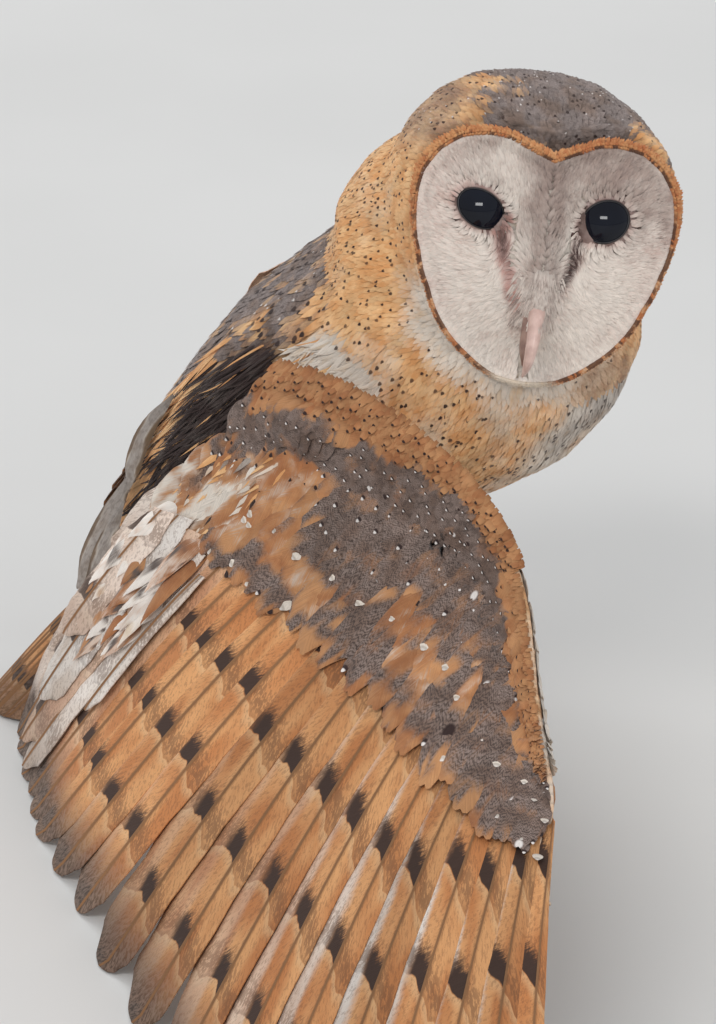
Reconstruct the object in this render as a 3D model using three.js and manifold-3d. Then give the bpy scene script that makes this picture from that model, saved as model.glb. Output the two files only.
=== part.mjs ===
// A barn owl at life size, standing with its right wing let down and spread and its face turned to its right.
// Millimetres, +Z up. The origin is on the floor, under the middle of the model's bounding box.
import * as THREE from "three";
import { mergeVertices } from "three/addons/utils/BufferGeometryUtils.js";
import Module from "manifold-3d";

const wasm = await Module();
wasm.setup();

const vec = (x, y, z) => new THREE.Vector3(x, y, z);
const mix = THREE.MathUtils.lerp;
const clamp = THREE.MathUtils.clamp;
const smooth = THREE.MathUtils.smoothstep;
const degrees = Math.PI / 180;

// Driving dimensions
const gap = 0.3; // between neighbouring solids
const footprintCentre = vec(-24.43, -138.75, 0); // the box's middle in the posing frame, whose origin is between the feet
const heading = vec(0.92, -0.39, 0).normalize(); // where the breast points
const acrossBody = vec(0, 0, 1).cross(heading).normalize(); // towards the bird's left

// A point given along the heading, towards the bird's left, and up.
const fromBody = (ahead, left, height) =>
  vec(0, 0, height).addScaledVector(heading, ahead).addScaledVector(acrossBody, left);

const head = {
  centre: vec(38, -50.5, 194), // the middle of the facial disc
  aim: vec(0.062, -0.972, 0.226).normalize(), // where the face looks
  roll: -5.6 * degrees,
  depth: 64, // from the disc to the back of the head
  lean: -9, // how far the back of the head lies to one side
  rimRise: 2.6, // how far the ruff stands before the disc's edge
  eyeSpacing: 18.7, // from the face's middle line
  eyeHeight: 11,
  eyeRadius: 8.6,
  eyeSink: 5.2, // the eye's centre behind the disc's surface
};
// Radii about the disc's middle, each at an angle in degrees from the top of the face.
const discOutline = [
  [0, 31], [14, 36.5], [28, 41.8], [44, 44.2], [54, 44], [66, 41], [76, 38], [86, 35.8], [100, 34], [124, 34],
  [146, 35], [163, 36], [180, 37.2],
];
const headOutline = [
  [0, 54], [20, 55], [37, 54], [54, 51], [75, 46], [100, 41.5], [124, 39], [180, 39],
];

// The bill's middle lines in the head's frame, with half widths and half heights at the same stations
const bill = {
  upper: [[0, -8, 5.5], [-0.2, -15, 8.2], [-0.8, -22, 9.6], [-1.5, -29, 8.6], [-2, -35, 4.2]],
  upperWidth: [4, 3.9, 3.4, 2.5, 0.6],
  upperHeight: [4, 4, 3.6, 2.8, 0.7],
  lower: [[0, -16, 0.5], [-0.6, -22, 2.8], [-1.2, -27.5, 4.3], [-1.5, -31, 3.9]],
  lowerWidth: [3.4, 3.2, 2.4, 0.9],
};

// The trunk and neck: centres of the sections, half widths across and half depths behind and before them
const trunkStations = [
  { at: vec(-84, 36, 50), side: 12, back: 9, front: 9 },
  { at: vec(-68, 30, 68), side: 27, back: 23, front: 22 },
  { at: vec(-46, 20, 94), side: 38, back: 35, front: 34 },
  { at: vec(-20, 9, 119), side: 45, back: 45, front: 42 },
  { at: vec(2, 0, 140), side: 48, back: 46, front: 49 },
  { at: vec(17, -7, 156), side: 48, back: 48, front: 53 },
  { at: vec(25, -11, 172), side: 45, back: 52, front: 50 },
  { at: vec(29, -14, 189), side: 36, back: 49, front: 38 },
  { at: vec(32, -16, 204), side: 27, back: 39, front: 26 },
  { at: vec(35, -17, 216), side: 15, back: 21, front: 14 },
];

const leg = {
  spacing: [21, 26], // of hip and ankle from the body's middle
  stations: [
    { ahead: -4, height: 88, side: 18, depth: 20 },
    { ahead: -12, height: 64, side: 13, depth: 15 },
    { ahead: -22, height: 44, side: 7.5, depth: 8.5 },
    { ahead: -17, height: 28, side: 5.6, depth: 6.2 },
    { ahead: -11, height: 10.5, side: 5.2, depth: 5.6 },
  ],
};
const foot = {
  ahead: -8,
  toeAngles: [-34, 2, 40, 168], // each toe's direction from the heading, outwards positive
  toeLengths: [25, 30, 25, 17],
  toeRadius: 3.3,
  padHeight: 3.6,
  clawLength: 14,
};

const lineThrough = (points) => new THREE.CatmullRomCurve3(points, false, "catmullrom", 0.5);

// A smooth value through evenly spaced stations.
const through = (values, t) => lineThrough(values.map((value) => vec(value, 0, 0))).getPoint(clamp(t, 0, 1)).x;

// A place on the trunk's surface: a share along it, an angle from its left side round to its back, and a lift.
function onTrunk(share, angle, lift) {
  const spine = lineThrough(trunkStations.map((s) => s.at));
  const ahead = spine.getTangent(share);
  const across = acrossBody.clone().addScaledVector(ahead, -acrossBody.dot(ahead)).normalize();
  const backward = ahead.clone().cross(across).normalize();
  const size = (key) => through(trunkStations.map((s) => s[key]), share) + lift;
  const [c, s] = [Math.cos(angle * degrees), Math.sin(angle * degrees)];
  return spine
    .getPoint(share)
    .addScaledVector(across, c * size("side"))
    .addScaledVector(backward, s * size(s > 0 ? "back" : "front"));
}

// The wings. Each has a leading edge, a line of feather roots and a line of feather tips, run from the innermost
// secondary to the outermost primary, and covert gives the share of the way to the tips that the coverts reach.
const secondaries = 14;
const primaries = 10;
const rightWing = {
  lead: [
    vec(-38, -37, 152), vec(-12, -62, 153), vec(16.5, -85, 141), vec(34.5, -104, 121), vec(40, -139, 98),
    vec(44, -172, 83),
  ],
  root: [
    vec(-50, -37, 128), vec(-24, -58, 131), vec(5, -80, 124), vec(27, -98, 110), vec(36, -136, 91),
    vec(45, -177, 76),
  ],
  tip: [
    vec(-117, 22, -3), vec(-115, 4, -3), vec(-111, -22, -3), vec(-104, -56, -3), vec(-86, -112, -3),
    vec(-62, -184, -3), vec(-43, -250, -3), vec(-16, -306, -3), vec(15, -343, -3), vec(46, -354, -3),
  ],
  outward: vec(-0.35, -0.72, 0.6).normalize(),
  bulge: 13,
  covert: [0.36, 0.38, 0.4, 0.42, 0.36, 0.3],
  covertDepth: [5.5, 5.5, 5, 3],
  bladeDepth: 0.9,
  step: 1.4,
  notch: [7, 7, 8, 9, 12, 20],
  edges: [0, 0.28, 0.72, 0.9],
  rows: 3,
};
const leftWing = {
  lead: [
    onTrunk(0.5, 50, 3), onTrunk(0.56, 27, 5), onTrunk(0.575, 3, 7), onTrunk(0.56, -18, 8), onTrunk(0.52, -33, 8),
    onTrunk(0.47, -44, 8),
  ],
  root: [
    onTrunk(0.4, 53, 6), onTrunk(0.45, 30, 7), onTrunk(0.47, 7, 8), onTrunk(0.45, -12, 9), onTrunk(0.41, -26, 9),
    onTrunk(0.36, -36, 9),
  ],
  tip: [
    fromBody(-95, 15, 82), fromBody(-105, 16, 66), fromBody(-111, 17, 52), fromBody(-114, 18, 40),
    fromBody(-116, 20, 30), fromBody(-118, 22, 22), fromBody(-120, 24, 15), fromBody(-121, 26, 9.5),
    fromBody(-120, 28, 5), fromBody(-117, 30, 2),
  ],
  outward: vec(0.2, 0.93, 0.3).normalize(),
  bulge: 9,
  covert: [0.5, 0.52, 0.52, 0.5, 0.44, 0.36],
  covertDepth: [3.5, 4.5, 4.5, 3],
  bladeDepth: 1.4,
  step: 1.2,
  notch: [3, 3, 3, 4, 5, 6],
  edges: [0.08, 0.5, 0.92],
  rows: 3,
};
const shoulder = [
  { at: vec(-10, -15, 127), side: 31, back: 22, front: 22 },
  { at: vec(-22, -33, 132), side: 27, back: 17, front: 17 },
  { at: vec(-22, -50, 138), side: 18, back: 11, front: 11 },
  { at: vec(-12, -64, 141), side: 7, back: 5, front: 5 },
];
const wristShare = secondaries / (secondaries + primaries);

const tail = {
  feathers: 12,
  root: [vec(-70, 40, 58), vec(-66, 34, 68), vec(-62, 25, 67), vec(-62, 15, 57)],
  tip: [vec(-121, 47, 0), vec(-127, 41, 0), vec(-126, 31, 0), vec(-119, 25, 0)],
  outward: vec(-0.7, -0.05, 0.72).normalize(),
  bulge: 4,
  bladeDepth: 1,
  step: 1.2,
  notch: [4, 3, 3, 4],
  edges: [0, 0.5, 0.95],
  rows: 3,
};

const finishes = {
  plumageGold: { color: "#cb9150", roughness: 0.9, metalness: 0 },
  plumageGrey: { color: "#8b8081", roughness: 0.9, metalness: 0 },
  plumageWhite: { color: "#e6dcd2", roughness: 0.9, metalness: 0 },
  flightGold: { color: "#c88642", roughness: 0.75, metalness: 0 },
  eyeBlack: { color: "#0b0d12", roughness: 0.08, metalness: 0 },
  billHorn: { color: "#d9b9ab", roughness: 0.45, metalness: 0 },
  toeSkin: { color: "#b9a48e", roughness: 0.7, metalness: 0 },
  clawHorn: { color: "#2a2422", roughness: 0.35, metalness: 0 },
};

// ---- Solids and booleans

// A closed mesh geometry as a solid, whichever way round its triangles are.
function solidOf(geometry) {
  const bare = geometry.clone();
  bare.deleteAttribute("normal");
  bare.deleteAttribute("uv");
  const merged = mergeVertices(bare, 1e-4);
  const vertProperties = new Float32Array(merged.attributes.position.array);
  const triVerts = new Uint32Array(merged.index.array);
  const solid = new wasm.Manifold(new wasm.Mesh({ numProp: 3, vertProperties, triVerts }));
  if (solid.volume() > 0) return solid;
  for (let i = 0; i < triVerts.length; i += 3) [triVerts[i], triVerts[i + 1]] = [triVerts[i + 1], triVerts[i]];
  return new wasm.Manifold(new wasm.Mesh({ numProp: 3, vertProperties, triVerts }));
}

function geometryOf(solid) {
  const mesh = solid.getMesh();
  const position = new Float32Array(mesh.numVert * 3);
  for (let i = 0; i < mesh.numVert; i++)
    position.set(mesh.vertProperties.subarray(i * mesh.numProp, i * mesh.numProp + 3), i * 3);
  const geometry = new THREE.BufferGeometry();
  geometry.setAttribute("position", new THREE.BufferAttribute(position, 3));
  geometry.setIndex(new THREE.BufferAttribute(new Uint32Array(mesh.triVerts), 1));
  return geometry;
}

const union = (solids) => solids.reduce((whole, solid) => whole.add(solid));

// The largest body of a solid that a cut may have split.
const mainBody = (solid) =>
  solid.decompose().reduce((best, body) => (body.volume() > best.volume() ? body : best));

// A large box that fills the half space in front of a plane.
function halfSpace(point, normal) {
  const reach = 900;
  const geometry = new THREE.BoxGeometry(reach, reach, reach).translate(0, 0, reach / 2);
  const turn = new THREE.Quaternion().setFromUnitVectors(vec(0, 0, 1), normal.clone().normalize());
  geometry.applyQuaternion(turn).translate(point.x, point.y, point.z);
  return solidOf(geometry);
}

// The two sides of a solid that a plane parts, with the neighbours' gap between them: [behind, in front].
function parted(solid, point, normal) {
  const unit = normal.clone().normalize();
  const ahead = halfSpace(point.clone().addScaledVector(unit, gap / 2), unit);
  const behind = halfSpace(point.clone().addScaledVector(unit, -gap / 2), unit.clone().negate());
  return [mainBody(solid.intersect(behind)), mainBody(solid.intersect(ahead))];
}

// ---- Forms: unit geometries whose vertices are moved by a function

// A unit cylinder reshaped: place(t, angle, r) is the point at share t of the length, r being 0 on the axis or 1.
function tubeForm(around, along, place) {
  const geometry = new THREE.CylinderGeometry(1, 1, 1, around, along);
  const position = geometry.attributes.position;
  for (let i = 0; i < position.count; i++) {
    const [x, y, z] = [position.getX(i), position.getY(i), position.getZ(i)];
    const r = Math.hypot(x, z) < 0.5 ? 0 : 1;
    position.setXYZ(i, ...place(y + 0.5, r && Math.atan2(z, x), r).toArray());
  }
  return solidOf(geometry);
}

// A unit sphere reshaped: place(share, azimuth), with share from 0 at one pole to 1 at the other.
function ballForm(around, rings, place) {
  const geometry = new THREE.SphereGeometry(1, around, rings);
  const position = geometry.attributes.position;
  for (let i = 0; i < position.count; i++) {
    const [x, y, z] = [position.getX(i), position.getY(i), position.getZ(i)];
    const azimuth = Math.hypot(x, z) < 1e-6 ? 0 : Math.atan2(z, x);
    position.setXYZ(i, ...place(Math.acos(clamp(y, -1, 1)) / Math.PI, azimuth).toArray());
  }
  return solidOf(geometry);
}

// A body grown along a spine of stations { at, side, back, front }: half widths across, behind and before the spine.
function spineForm(stations, acrossAxis, around, along, grow = 0) {
  const spine = lineThrough(stations.map((s) => s.at));
  const size = (key, t) => through(stations.map((s) => s[key]), t) + grow;
  return tubeForm(around, along, (t, angle, r) => {
    const centre = spine.getPoint(t);
    const ahead = spine.getTangent(t);
    if (t === 0) centre.addScaledVector(ahead, -grow);
    if (t === 1) centre.addScaledVector(ahead, grow);
    const across = acrossAxis.clone().addScaledVector(ahead, -acrossAxis.dot(ahead)).normalize();
    const backward = ahead.clone().cross(across).normalize();
    const [c, s] = [Math.cos(angle), Math.sin(angle)];
    return centre
      .addScaledVector(across, r * c * size("side", t))
      .addScaledVector(backward, r * s * size(s > 0 ? "back" : "front", t));
  });
}

// ---- Head, in its own frame: x to the viewer's right of the face, y up the face and z out of it

const levelAxis = vec(0, 0, 1).cross(head.aim).normalize();
const faceRight = levelAxis.clone().applyAxisAngle(head.aim, head.roll);
const faceUp = head.aim.clone().cross(levelAxis).applyAxisAngle(head.aim, head.roll);
const onFace = (x, y, z) =>
  head.centre.clone().addScaledVector(faceRight, x).addScaledVector(faceUp, y).addScaledVector(head.aim, z);

function radiusAt(outline, azimuth) {
  const fromTop = Math.abs(Math.atan2(Math.cos(azimuth), Math.sin(azimuth))) / degrees;
  const i = Math.max(1, outline.findIndex(([edge]) => edge >= fromTop - 1e-6));
  const [[a0, r0], [a1, r1]] = [outline[i - 1], outline[i]];
  return mix(r0, r1, clamp((fromTop - a0) / (a1 - a0), 0, 1));
}

// How far forward the disc's surface stands: a shallow dish, with a ridge down to the bill and a hollow at each eye.
function discDepth(x, y) {
  const ridgeHeight = mix(10, 3.5, smooth(y, -16, 28)) * smooth(y, -30, -14);
  const ridgeWidth = mix(5.5, 4, smooth(y, -15, 25));
  const ridge = ridgeHeight * Math.exp(-((x / ridgeWidth) ** 2));
  const besideEye = ((Math.abs(x) - head.eyeSpacing + 4) / 8) ** 2 + ((y - head.eyeHeight + 3) / 10) ** 2;
  return ridge - 7 * (Math.hypot(x, y) / 40) ** 2 - 2.2 * Math.exp(-besideEye);
}

function headForm() {
  const [discShare, rimShare] = [0.52, 0.6];
  return ballForm(26, 18, (share, azimuth) => {
    const [c, s] = [Math.cos(azimuth), Math.sin(azimuth)];
    const disc = radiusAt(discOutline, azimuth);
    if (share <= discShare) {
      const radius = (disc * share) / discShare;
      const rise = head.rimRise * smooth(share, discShare * 0.9, discShare);
      return onFace(radius * c, radius * s, discDepth(radius * c, radius * s) + rise);
    }
    const edge = discDepth(disc * c, disc * s) + head.rimRise;
    const outer = radiusAt(headOutline, azimuth);
    const turn = clamp((share - rimShare) / (1 - rimShare), 0, 1) * (Math.PI / 2);
    const radius = mix(disc + 3, outer, smooth(turn, 0, 0.45)) * Math.cos(turn) ** 0.55;
    const depth = share < rimShare ? 0.6 : (head.depth + edge) * Math.sin(turn);
    return onFace(radius * c + head.lean * Math.sin(turn), radius * s, edge - depth);
  });
}

// The room in front of the face, which the neck's plumage leaves free.
function faceRoomForm() {
  return tubeForm(30, 1, (t, angle, r) => {
    const radius = radiusAt(discOutline, angle) * r;
    return onFace(radius * Math.cos(angle), radius * Math.sin(angle), mix(-6, 50, t));
  });
}

function eyeForm(side, grow = 0) {
  const x = side * head.eyeSpacing;
  const centre = onFace(x, head.eyeHeight, discDepth(x, head.eyeHeight) - head.eyeSink);
  return solidOf(
    new THREE.SphereGeometry(head.eyeRadius + grow, 13, 8).translate(centre.x, centre.y, centre.z),
  );
}

function billForm(points, widths, heights, grow = 0) {
  const stations = points.map((point, i) => ({
    at: onFace(...point),
    side: widths[i],
    back: heights[i],
    front: heights[i] * 0.7,
  }));
  return spineForm(stations, faceRight, 10, 6, grow);
}
const upperBillForm = (grow) => billForm(bill.upper, bill.upperWidth, bill.upperHeight, grow);
const lowerBillForm = (grow) => billForm(bill.lower, bill.lowerWidth, bill.lowerWidth, grow);

// ---- Legs and feet. The bird's right side is -1 and its left side is 1.

const floorSide = halfSpace(vec(0, 0, 0), vec(0, 0, 1));

function legForm(side, grow = 0) {
  const stations = leg.stations.map((s, i) => ({
    at: fromBody(s.ahead, side * mix(...leg.spacing, i / (leg.stations.length - 1)), s.height),
    side: s.side,
    back: s.depth,
    front: s.depth,
  }));
  return spineForm(stations, acrossBody, 10, 6, grow);
}

const footCentre = (side) => fromBody(foot.ahead, side * leg.spacing[1], foot.padHeight);
const toeDirection = (side, index) =>
  heading.clone().applyAxisAngle(vec(0, 0, 1), side * foot.toeAngles[index] * degrees);

function toeForm(side, index) {
  const along = toeDirection(side, index);
  const length = foot.toeLengths[index];
  const at = (share, height) => footCentre(side).addScaledVector(along, length * share).setZ(height);
  const r = foot.toeRadius;
  const stations = [
    { at: at(-0.12, foot.padHeight), side: r + 1.4, back: r + 1.3, front: r + 1.3 },
    { at: at(0.34, r + 0.6), side: r, back: r, front: r },
    { at: at(0.66, r - 0.9), side: r * 0.85, back: r * 0.85, front: r },
    { at: at(1, r - 0.9), side: r * 0.75, back: r * 0.75, front: r * 0.95 },
  ];
  return spineForm(stations, along.clone().cross(vec(0, 0, 1)), 6, 3);
}

const footForm = (side) => union(foot.toeAngles.map((_, i) => toeForm(side, i))).intersect(floorSide);

function clawForm(side, index) {
  const along = toeDirection(side, index);
  const root = footCentre(side).addScaledVector(along, foot.toeLengths[index] + gap * 2.5);
  const at = (share, height) => root.clone().addScaledVector(along, foot.clawLength * share).setZ(height);
  const stations = [
    { at: at(0, foot.toeRadius), side: 1.9, back: 2, front: 2 },
    { at: at(0.4, foot.toeRadius + 1.4), side: 1.6, back: 1.7, front: 1.7 },
    { at: at(0.75, foot.toeRadius), side: 1.1, back: 1.2, front: 1.2 },
    { at: at(1, 0.8), side: 0.4, back: 0.4, front: 0.4 },
  ];
  return spineForm(stations, along.clone().cross(vec(0, 0, 1)), 6, 4);
}

// ---- Wings and tail, on surfaces given by a share s from feather to feather and a share v from root to tip

function fanSurface(fan, s, v) {
  const [lead, root, tip] = [fan.lead ?? fan.root, fan.root, fan.tip].map((line) => lineThrough(line).getPoint(s));
  const rootShare = fan.lead ? 0.18 : 0;
  if (v < rootShare) return lead.lerp(root, v / rootShare);
  const run = (v - rootShare) / (1 - rootShare);
  return root.lerp(tip, run).addScaledVector(fan.outward, fan.bulge * Math.sin(Math.PI * run) * (1 - 0.35 * run));
}

function fanNormal(fan, s, v) {
  const step = 0.01;
  const [s0, s1, v0, v1] = [s - step, s + step, v - step, v + step].map((share) => clamp(share, 0, 1));
  const along = fanSurface(fan, s1, v).sub(fanSurface(fan, s0, v));
  const down = fanSurface(fan, s, v1).sub(fanSurface(fan, s, v0));
  const normal = along.cross(down).normalize();
  return normal.dot(fan.outward) < 0 ? normal.negate() : normal;
}

// The covert-clad part of a wing: a slab, thick at the leading edge and thin where the flight feathers come out.
function covertForm(wing, grow = 0) {
  return tubeForm(12, 18, (t, angle, r) => {
    const s = t;
    const reach = through(wing.covert, s);
    const middle = reach / 2;
    const v = clamp(middle - (middle + grow / 140) * Math.cos(angle) * r, 0, 1);
    const full = through(wing.covertDepth, s);
    const depth = mix(full, wing.bladeDepth + wing.step * 0.5, smooth(v / reach, 0.1, 0.9)) + grow;
    const ends = Math.sqrt(Math.max(0.15, 1 - Math.abs(2 * t - 1) ** 12));
    return fanSurface(wing, s, v).addScaledVector(fanNormal(wing, s, v), depth * Math.sin(angle) * r * ends);
  });
}

// Flight feathers from one index up to another: a closed sheet in overlapping steps, with a rounded tip to each.
function bladesForm(fan, count, from, to, startOf) {
  const { edges } = fan;
  const columns = (to - from) * edges.length - 1;
  const geometry = new THREE.BoxGeometry(1, 1, 1, columns, 1, fan.rows);
  const position = geometry.attributes.position;
  for (let i = 0; i < position.count; i++) {
    const column = Math.round((position.getX(i) + 0.5) * columns);
    const u = edges[column % edges.length];
    const s = (from + Math.floor(column / edges.length) + u) / count;
    const top = position.getY(i) > 0;
    const row = position.getZ(i) + 0.5;
    const length = fanSurface(fan, s, 1).distanceTo(fanSurface(fan, s, 0));
    const end = 1 - (through(fan.notch, s) * Math.abs(2 * u - 1) ** 3) / length;
    const v = mix(startOf(s), end, row);
    const lift = fan.step * (0.5 - u) * smooth(row, 0, 0.15) + (top ? 0.5 : -0.5) * fan.bladeDepth;
    const point = fanSurface(fan, s, v).addScaledVector(fanNormal(fan, s, v), lift);
    point.z = Math.max(point.z, top ? fan.bladeDepth : 0);
    position.setXYZ(i, ...point.toArray());
  }
  return solidOf(geometry);
}

// ---- Assembly

const model = new THREE.Group();

function addPart(name, solid, finish) {
  const mesh = new THREE.Mesh(geometryOf(solid), new THREE.MeshStandardMaterial(finishes[finish]));
  mesh.name = name;
  mesh.position.copy(footprintCentre).negate();
  model.add(mesh);
}

const sides = { right: -1, left: 1 };
const trunkSolid = spineForm(trunkStations, acrossBody, 20, 15);
const trunkRoom = spineForm(trunkStations, acrossBody, 20, 15, gap);
const sockets = union([eyeForm(-1, gap), eyeForm(1, gap), upperBillForm(gap), lowerBillForm(gap)]);
const flesh = trunkSolid.subtract(faceRoomForm()).add(headForm()).subtract(sockets);
const [belowHead, headSolid] = parted(flesh, vec(30, -25, 160), vec(0.3, -0.25, 0.92));
const [trunkPart, neckPart] = parted(belowHead, vec(10, -4, 148), vec(0.65, -0.28, 0.71));

addPart("head", headSolid, "plumageWhite");
addPart("neck", neckPart, "plumageGold");
addPart("trunk", trunkPart, "plumageGold");
addPart("bill_upper", upperBillForm(), "billHorn");
addPart("bill_lower", mainBody(lowerBillForm().subtract(upperBillForm(gap))), "billHorn");

for (const [name, side] of Object.entries(sides)) {
  addPart(`eye_${name}`, eyeForm(side), "eyeBlack");
  addPart(`leg_${name}`, mainBody(legForm(side).subtract(trunkRoom)), "plumageWhite");
  addPart(`foot_${name}`, mainBody(footForm(side).subtract(legForm(side, gap))), "toeSkin");
  foot.toeAngles.forEach((_, i) => addPart(`claw_${name}_${i + 1}`, clawForm(side, i), "clawHorn"));
}

const flightCount = secondaries + primaries;
for (const [name, wing] of Object.entries({ right: rightWing, left: leftWing })) {
  const joint = name === "right" ? [spineForm(shoulder, heading, 10, 4)] : [];
  const coverts = union([covertForm(wing), ...joint]).subtract(trunkRoom);
  const wrist = fanSurface(wing, wristShare, 0.2);
  const alongWing = fanSurface(wing, wristShare + 0.02, 0.2).sub(fanSurface(wing, wristShare - 0.02, 0.2));
  const [arm, hand] = parted(mainBody(coverts), wrist, alongWing);
  const start = (s) => through(wing.covert, s) + 0.004;
  addPart(`wing_${name}_arm`, arm, "plumageGrey");
  addPart(`wing_${name}_hand`, hand, "plumageGrey");
  addPart(`wing_${name}_secondaries`, bladesForm(wing, flightCount, 0, secondaries, start), "flightGold");
  addPart(`wing_${name}_primaries`, bladesForm(wing, flightCount, secondaries, flightCount, start), "flightGold");
}
const tailBlades = bladesForm(tail, tail.feathers, 0, tail.feathers, () => 0);
addPart("tail", mainBody(tailBlades.subtract(trunkRoom)), "flightGold");

export default model;
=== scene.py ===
import math

import bmesh
import bpy
import numpy as np
from mathutils import Matrix, Vector
from mathutils.bvhtree import BVHTree
from mathutils.kdtree import KDTree


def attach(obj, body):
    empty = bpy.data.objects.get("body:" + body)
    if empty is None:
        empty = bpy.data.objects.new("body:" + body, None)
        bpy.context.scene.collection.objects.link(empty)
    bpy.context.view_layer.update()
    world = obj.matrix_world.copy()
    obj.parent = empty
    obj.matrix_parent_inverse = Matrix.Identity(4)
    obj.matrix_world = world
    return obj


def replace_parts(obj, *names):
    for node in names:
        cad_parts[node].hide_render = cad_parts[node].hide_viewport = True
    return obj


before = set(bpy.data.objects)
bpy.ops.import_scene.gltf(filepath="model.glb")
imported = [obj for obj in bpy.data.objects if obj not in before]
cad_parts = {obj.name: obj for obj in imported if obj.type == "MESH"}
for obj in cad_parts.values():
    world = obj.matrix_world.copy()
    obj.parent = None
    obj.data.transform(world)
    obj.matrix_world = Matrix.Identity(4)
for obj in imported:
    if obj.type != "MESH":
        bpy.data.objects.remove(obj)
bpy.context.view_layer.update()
dice = np.random.default_rng(11)
print("frame loaded")

# Places below are in millimetres in the frame the bird was posed in, and toFrame turns them into the model's
# metres.
poseMiddle = np.array([-24.43, -138.75, 0.0])


def toFrame(points):
    return (np.asarray(points, float) - poseMiddle) * 0.001


def toPose(points):
    return np.asarray(points, float) * 1000 + poseMiddle


def unit(v):
    v = np.asarray(v, float)
    return v / np.maximum(np.linalg.norm(v, axis=-1, keepdims=True), 1e-12)


def mix(a, b, t):
    return a + (b - a) * t


def ease(x, low, high):
    t = np.clip((np.asarray(x, float) - low) / (high - low), 0, 1)
    return t * t * (3 - 2 * t)


def bump(x, middle, reach):
    return np.exp(-(((np.asarray(x, float) - middle) / reach) ** 2))


def dot(a, b):
    return np.sum(np.asarray(a) * np.asarray(b), axis=-1)


# A smooth line through points, by shares of its length
def lineAt(points, share):
    p = np.array(points, float)
    if p.ndim == 1:
        p = p[:, None]
    n = len(p) - 1
    p = np.vstack([2 * p[0] - p[1], p, 2 * p[-1] - p[-2]])
    x = np.clip(np.asarray(share, float), 0, 1) * n
    i = np.minimum(np.floor(x).astype(int), n - 1)
    w = (x - i)[..., None]
    a, b, c, d = p[i], p[i + 1], p[i + 2], p[i + 3]
    u, v = (c - a) * 0.5, (d - b) * 0.5
    return (2 * b - 2 * c + u + v) * w**3 + (-3 * b + 3 * c - 2 * u - v) * w**2 + u * w + b


def valueAt(values, share):
    return lineAt(values, share)[..., 0]


heading = unit([0.92, -0.39, 0])
acrossBody = unit(np.cross([0, 0, 1], heading))


def fromBody(ahead, left, height):
    return heading * ahead + acrossBody * left + np.array([0, 0, height])


head = {
    "centre": np.array([38, -50.5, 194.0]),
    "aim": unit([0.062, -0.972, 0.226]),
    "roll": -5.6,
    "rimRise": 2.6,
    "eyeSpacing": 18.7,
    "eyeHeight": 11,
}
turn = np.array(Matrix.Rotation(math.radians(head["roll"]), 3, Vector(head["aim"])))
levelAxis = unit(np.cross([0, 0, 1], head["aim"]))
faceRight = turn @ levelAxis
faceUp = turn @ np.cross(head["aim"], levelAxis)
faceAxes = np.stack([faceRight, faceUp, head["aim"]])
discAngles = [0, 9, 15, 21, 29, 40, 50, 61, 70, 79, 95, 113, 133, 149, 166, 180]
discRadii = [27, 28.9, 31, 34, 37, 40.2, 41.3, 41, 39.2, 37.2, 34.2, 32.9, 34, 35, 37, 37.3]


def onFace(x, y, z):
    return head["centre"] + np.stack(np.broadcast_arrays(x, y, z), -1) @ faceAxes


def faceOf(points):
    return (points - head["centre"]) @ faceAxes.T


def discRadius(x, y):
    return np.interp(np.degrees(np.abs(np.arctan2(x, y))), discAngles, discRadii)


# How far inside the facial disc's edge a place on the face lies
def discGap(x, y):
    return discRadius(x, y) - np.hypot(x, y)


# How far forward the facial disc stands: a shallow dish with a ridge down to the bill and hollows at the eyes
def discDepth(x, y):
    height = mix(10, 3.5, ease(y, -16, 28)) * ease(y, -30, -14)
    width = mix(5.5, 4, ease(y, -15, 25))
    beside = ((np.abs(x) - head["eyeSpacing"] + 4) / 8) ** 2 + ((y - head["eyeHeight"] + 3) / 10) ** 2
    return height * bump(x, 0, width) - 7 * (np.hypot(x, y) / 40) ** 2 - 2.2 * np.exp(-beside)


trunk = {
    "at": [(-84, 36, 50), (-68, 30, 68), (-46, 20, 94), (-20, 9, 119), (2, 0, 140), (17, -7, 156),
           (25, -11, 172), (29, -14, 189), (32, -16, 204), (35, -17, 216)],
    "side": [12, 27, 38, 45, 48, 48, 45, 36, 27, 15],
    "back": [9, 23, 35, 45, 46, 48, 52, 49, 39, 21],
    "front": [9, 22, 34, 42, 49, 53, 50, 38, 26, 14],
}
spineSteps = 160
spineShares = np.linspace(0, 1, spineSteps + 1)
spinePoints = lineAt(trunk["at"], spineShares)
spineAhead = unit(np.gradient(spinePoints, axis=0))
spineAcross = unit(acrossBody - dot(acrossBody, spineAhead)[:, None] * spineAhead)
spineBack = unit(np.cross(spineAhead, spineAcross))


def onTrunk(share, angle, lift):
    i = int(round(share * spineSteps))
    c, s = math.cos(math.radians(angle)), math.sin(math.radians(angle))
    side = valueAt(trunk["side"], share) + lift
    depth = valueAt(trunk["back" if s > 0 else "front"], share) + lift
    return spinePoints[i] + spineAcross[i] * c * side + spineBack[i] * s * depth


# Where points lie on the trunk: the share along it and the angle from its left side round to its back
def trunkOf(points):
    tree = KDTree(len(spinePoints))
    for i, p in enumerate(spinePoints):
        tree.insert(p, i)
    tree.balance()
    i = np.array([tree.find(p)[1] for p in points.tolist()])
    away = points - spinePoints[i]
    return spineShares[i], np.degrees(np.arctan2(dot(away, spineBack[i]), dot(away, spineAcross[i]))), i


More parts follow.
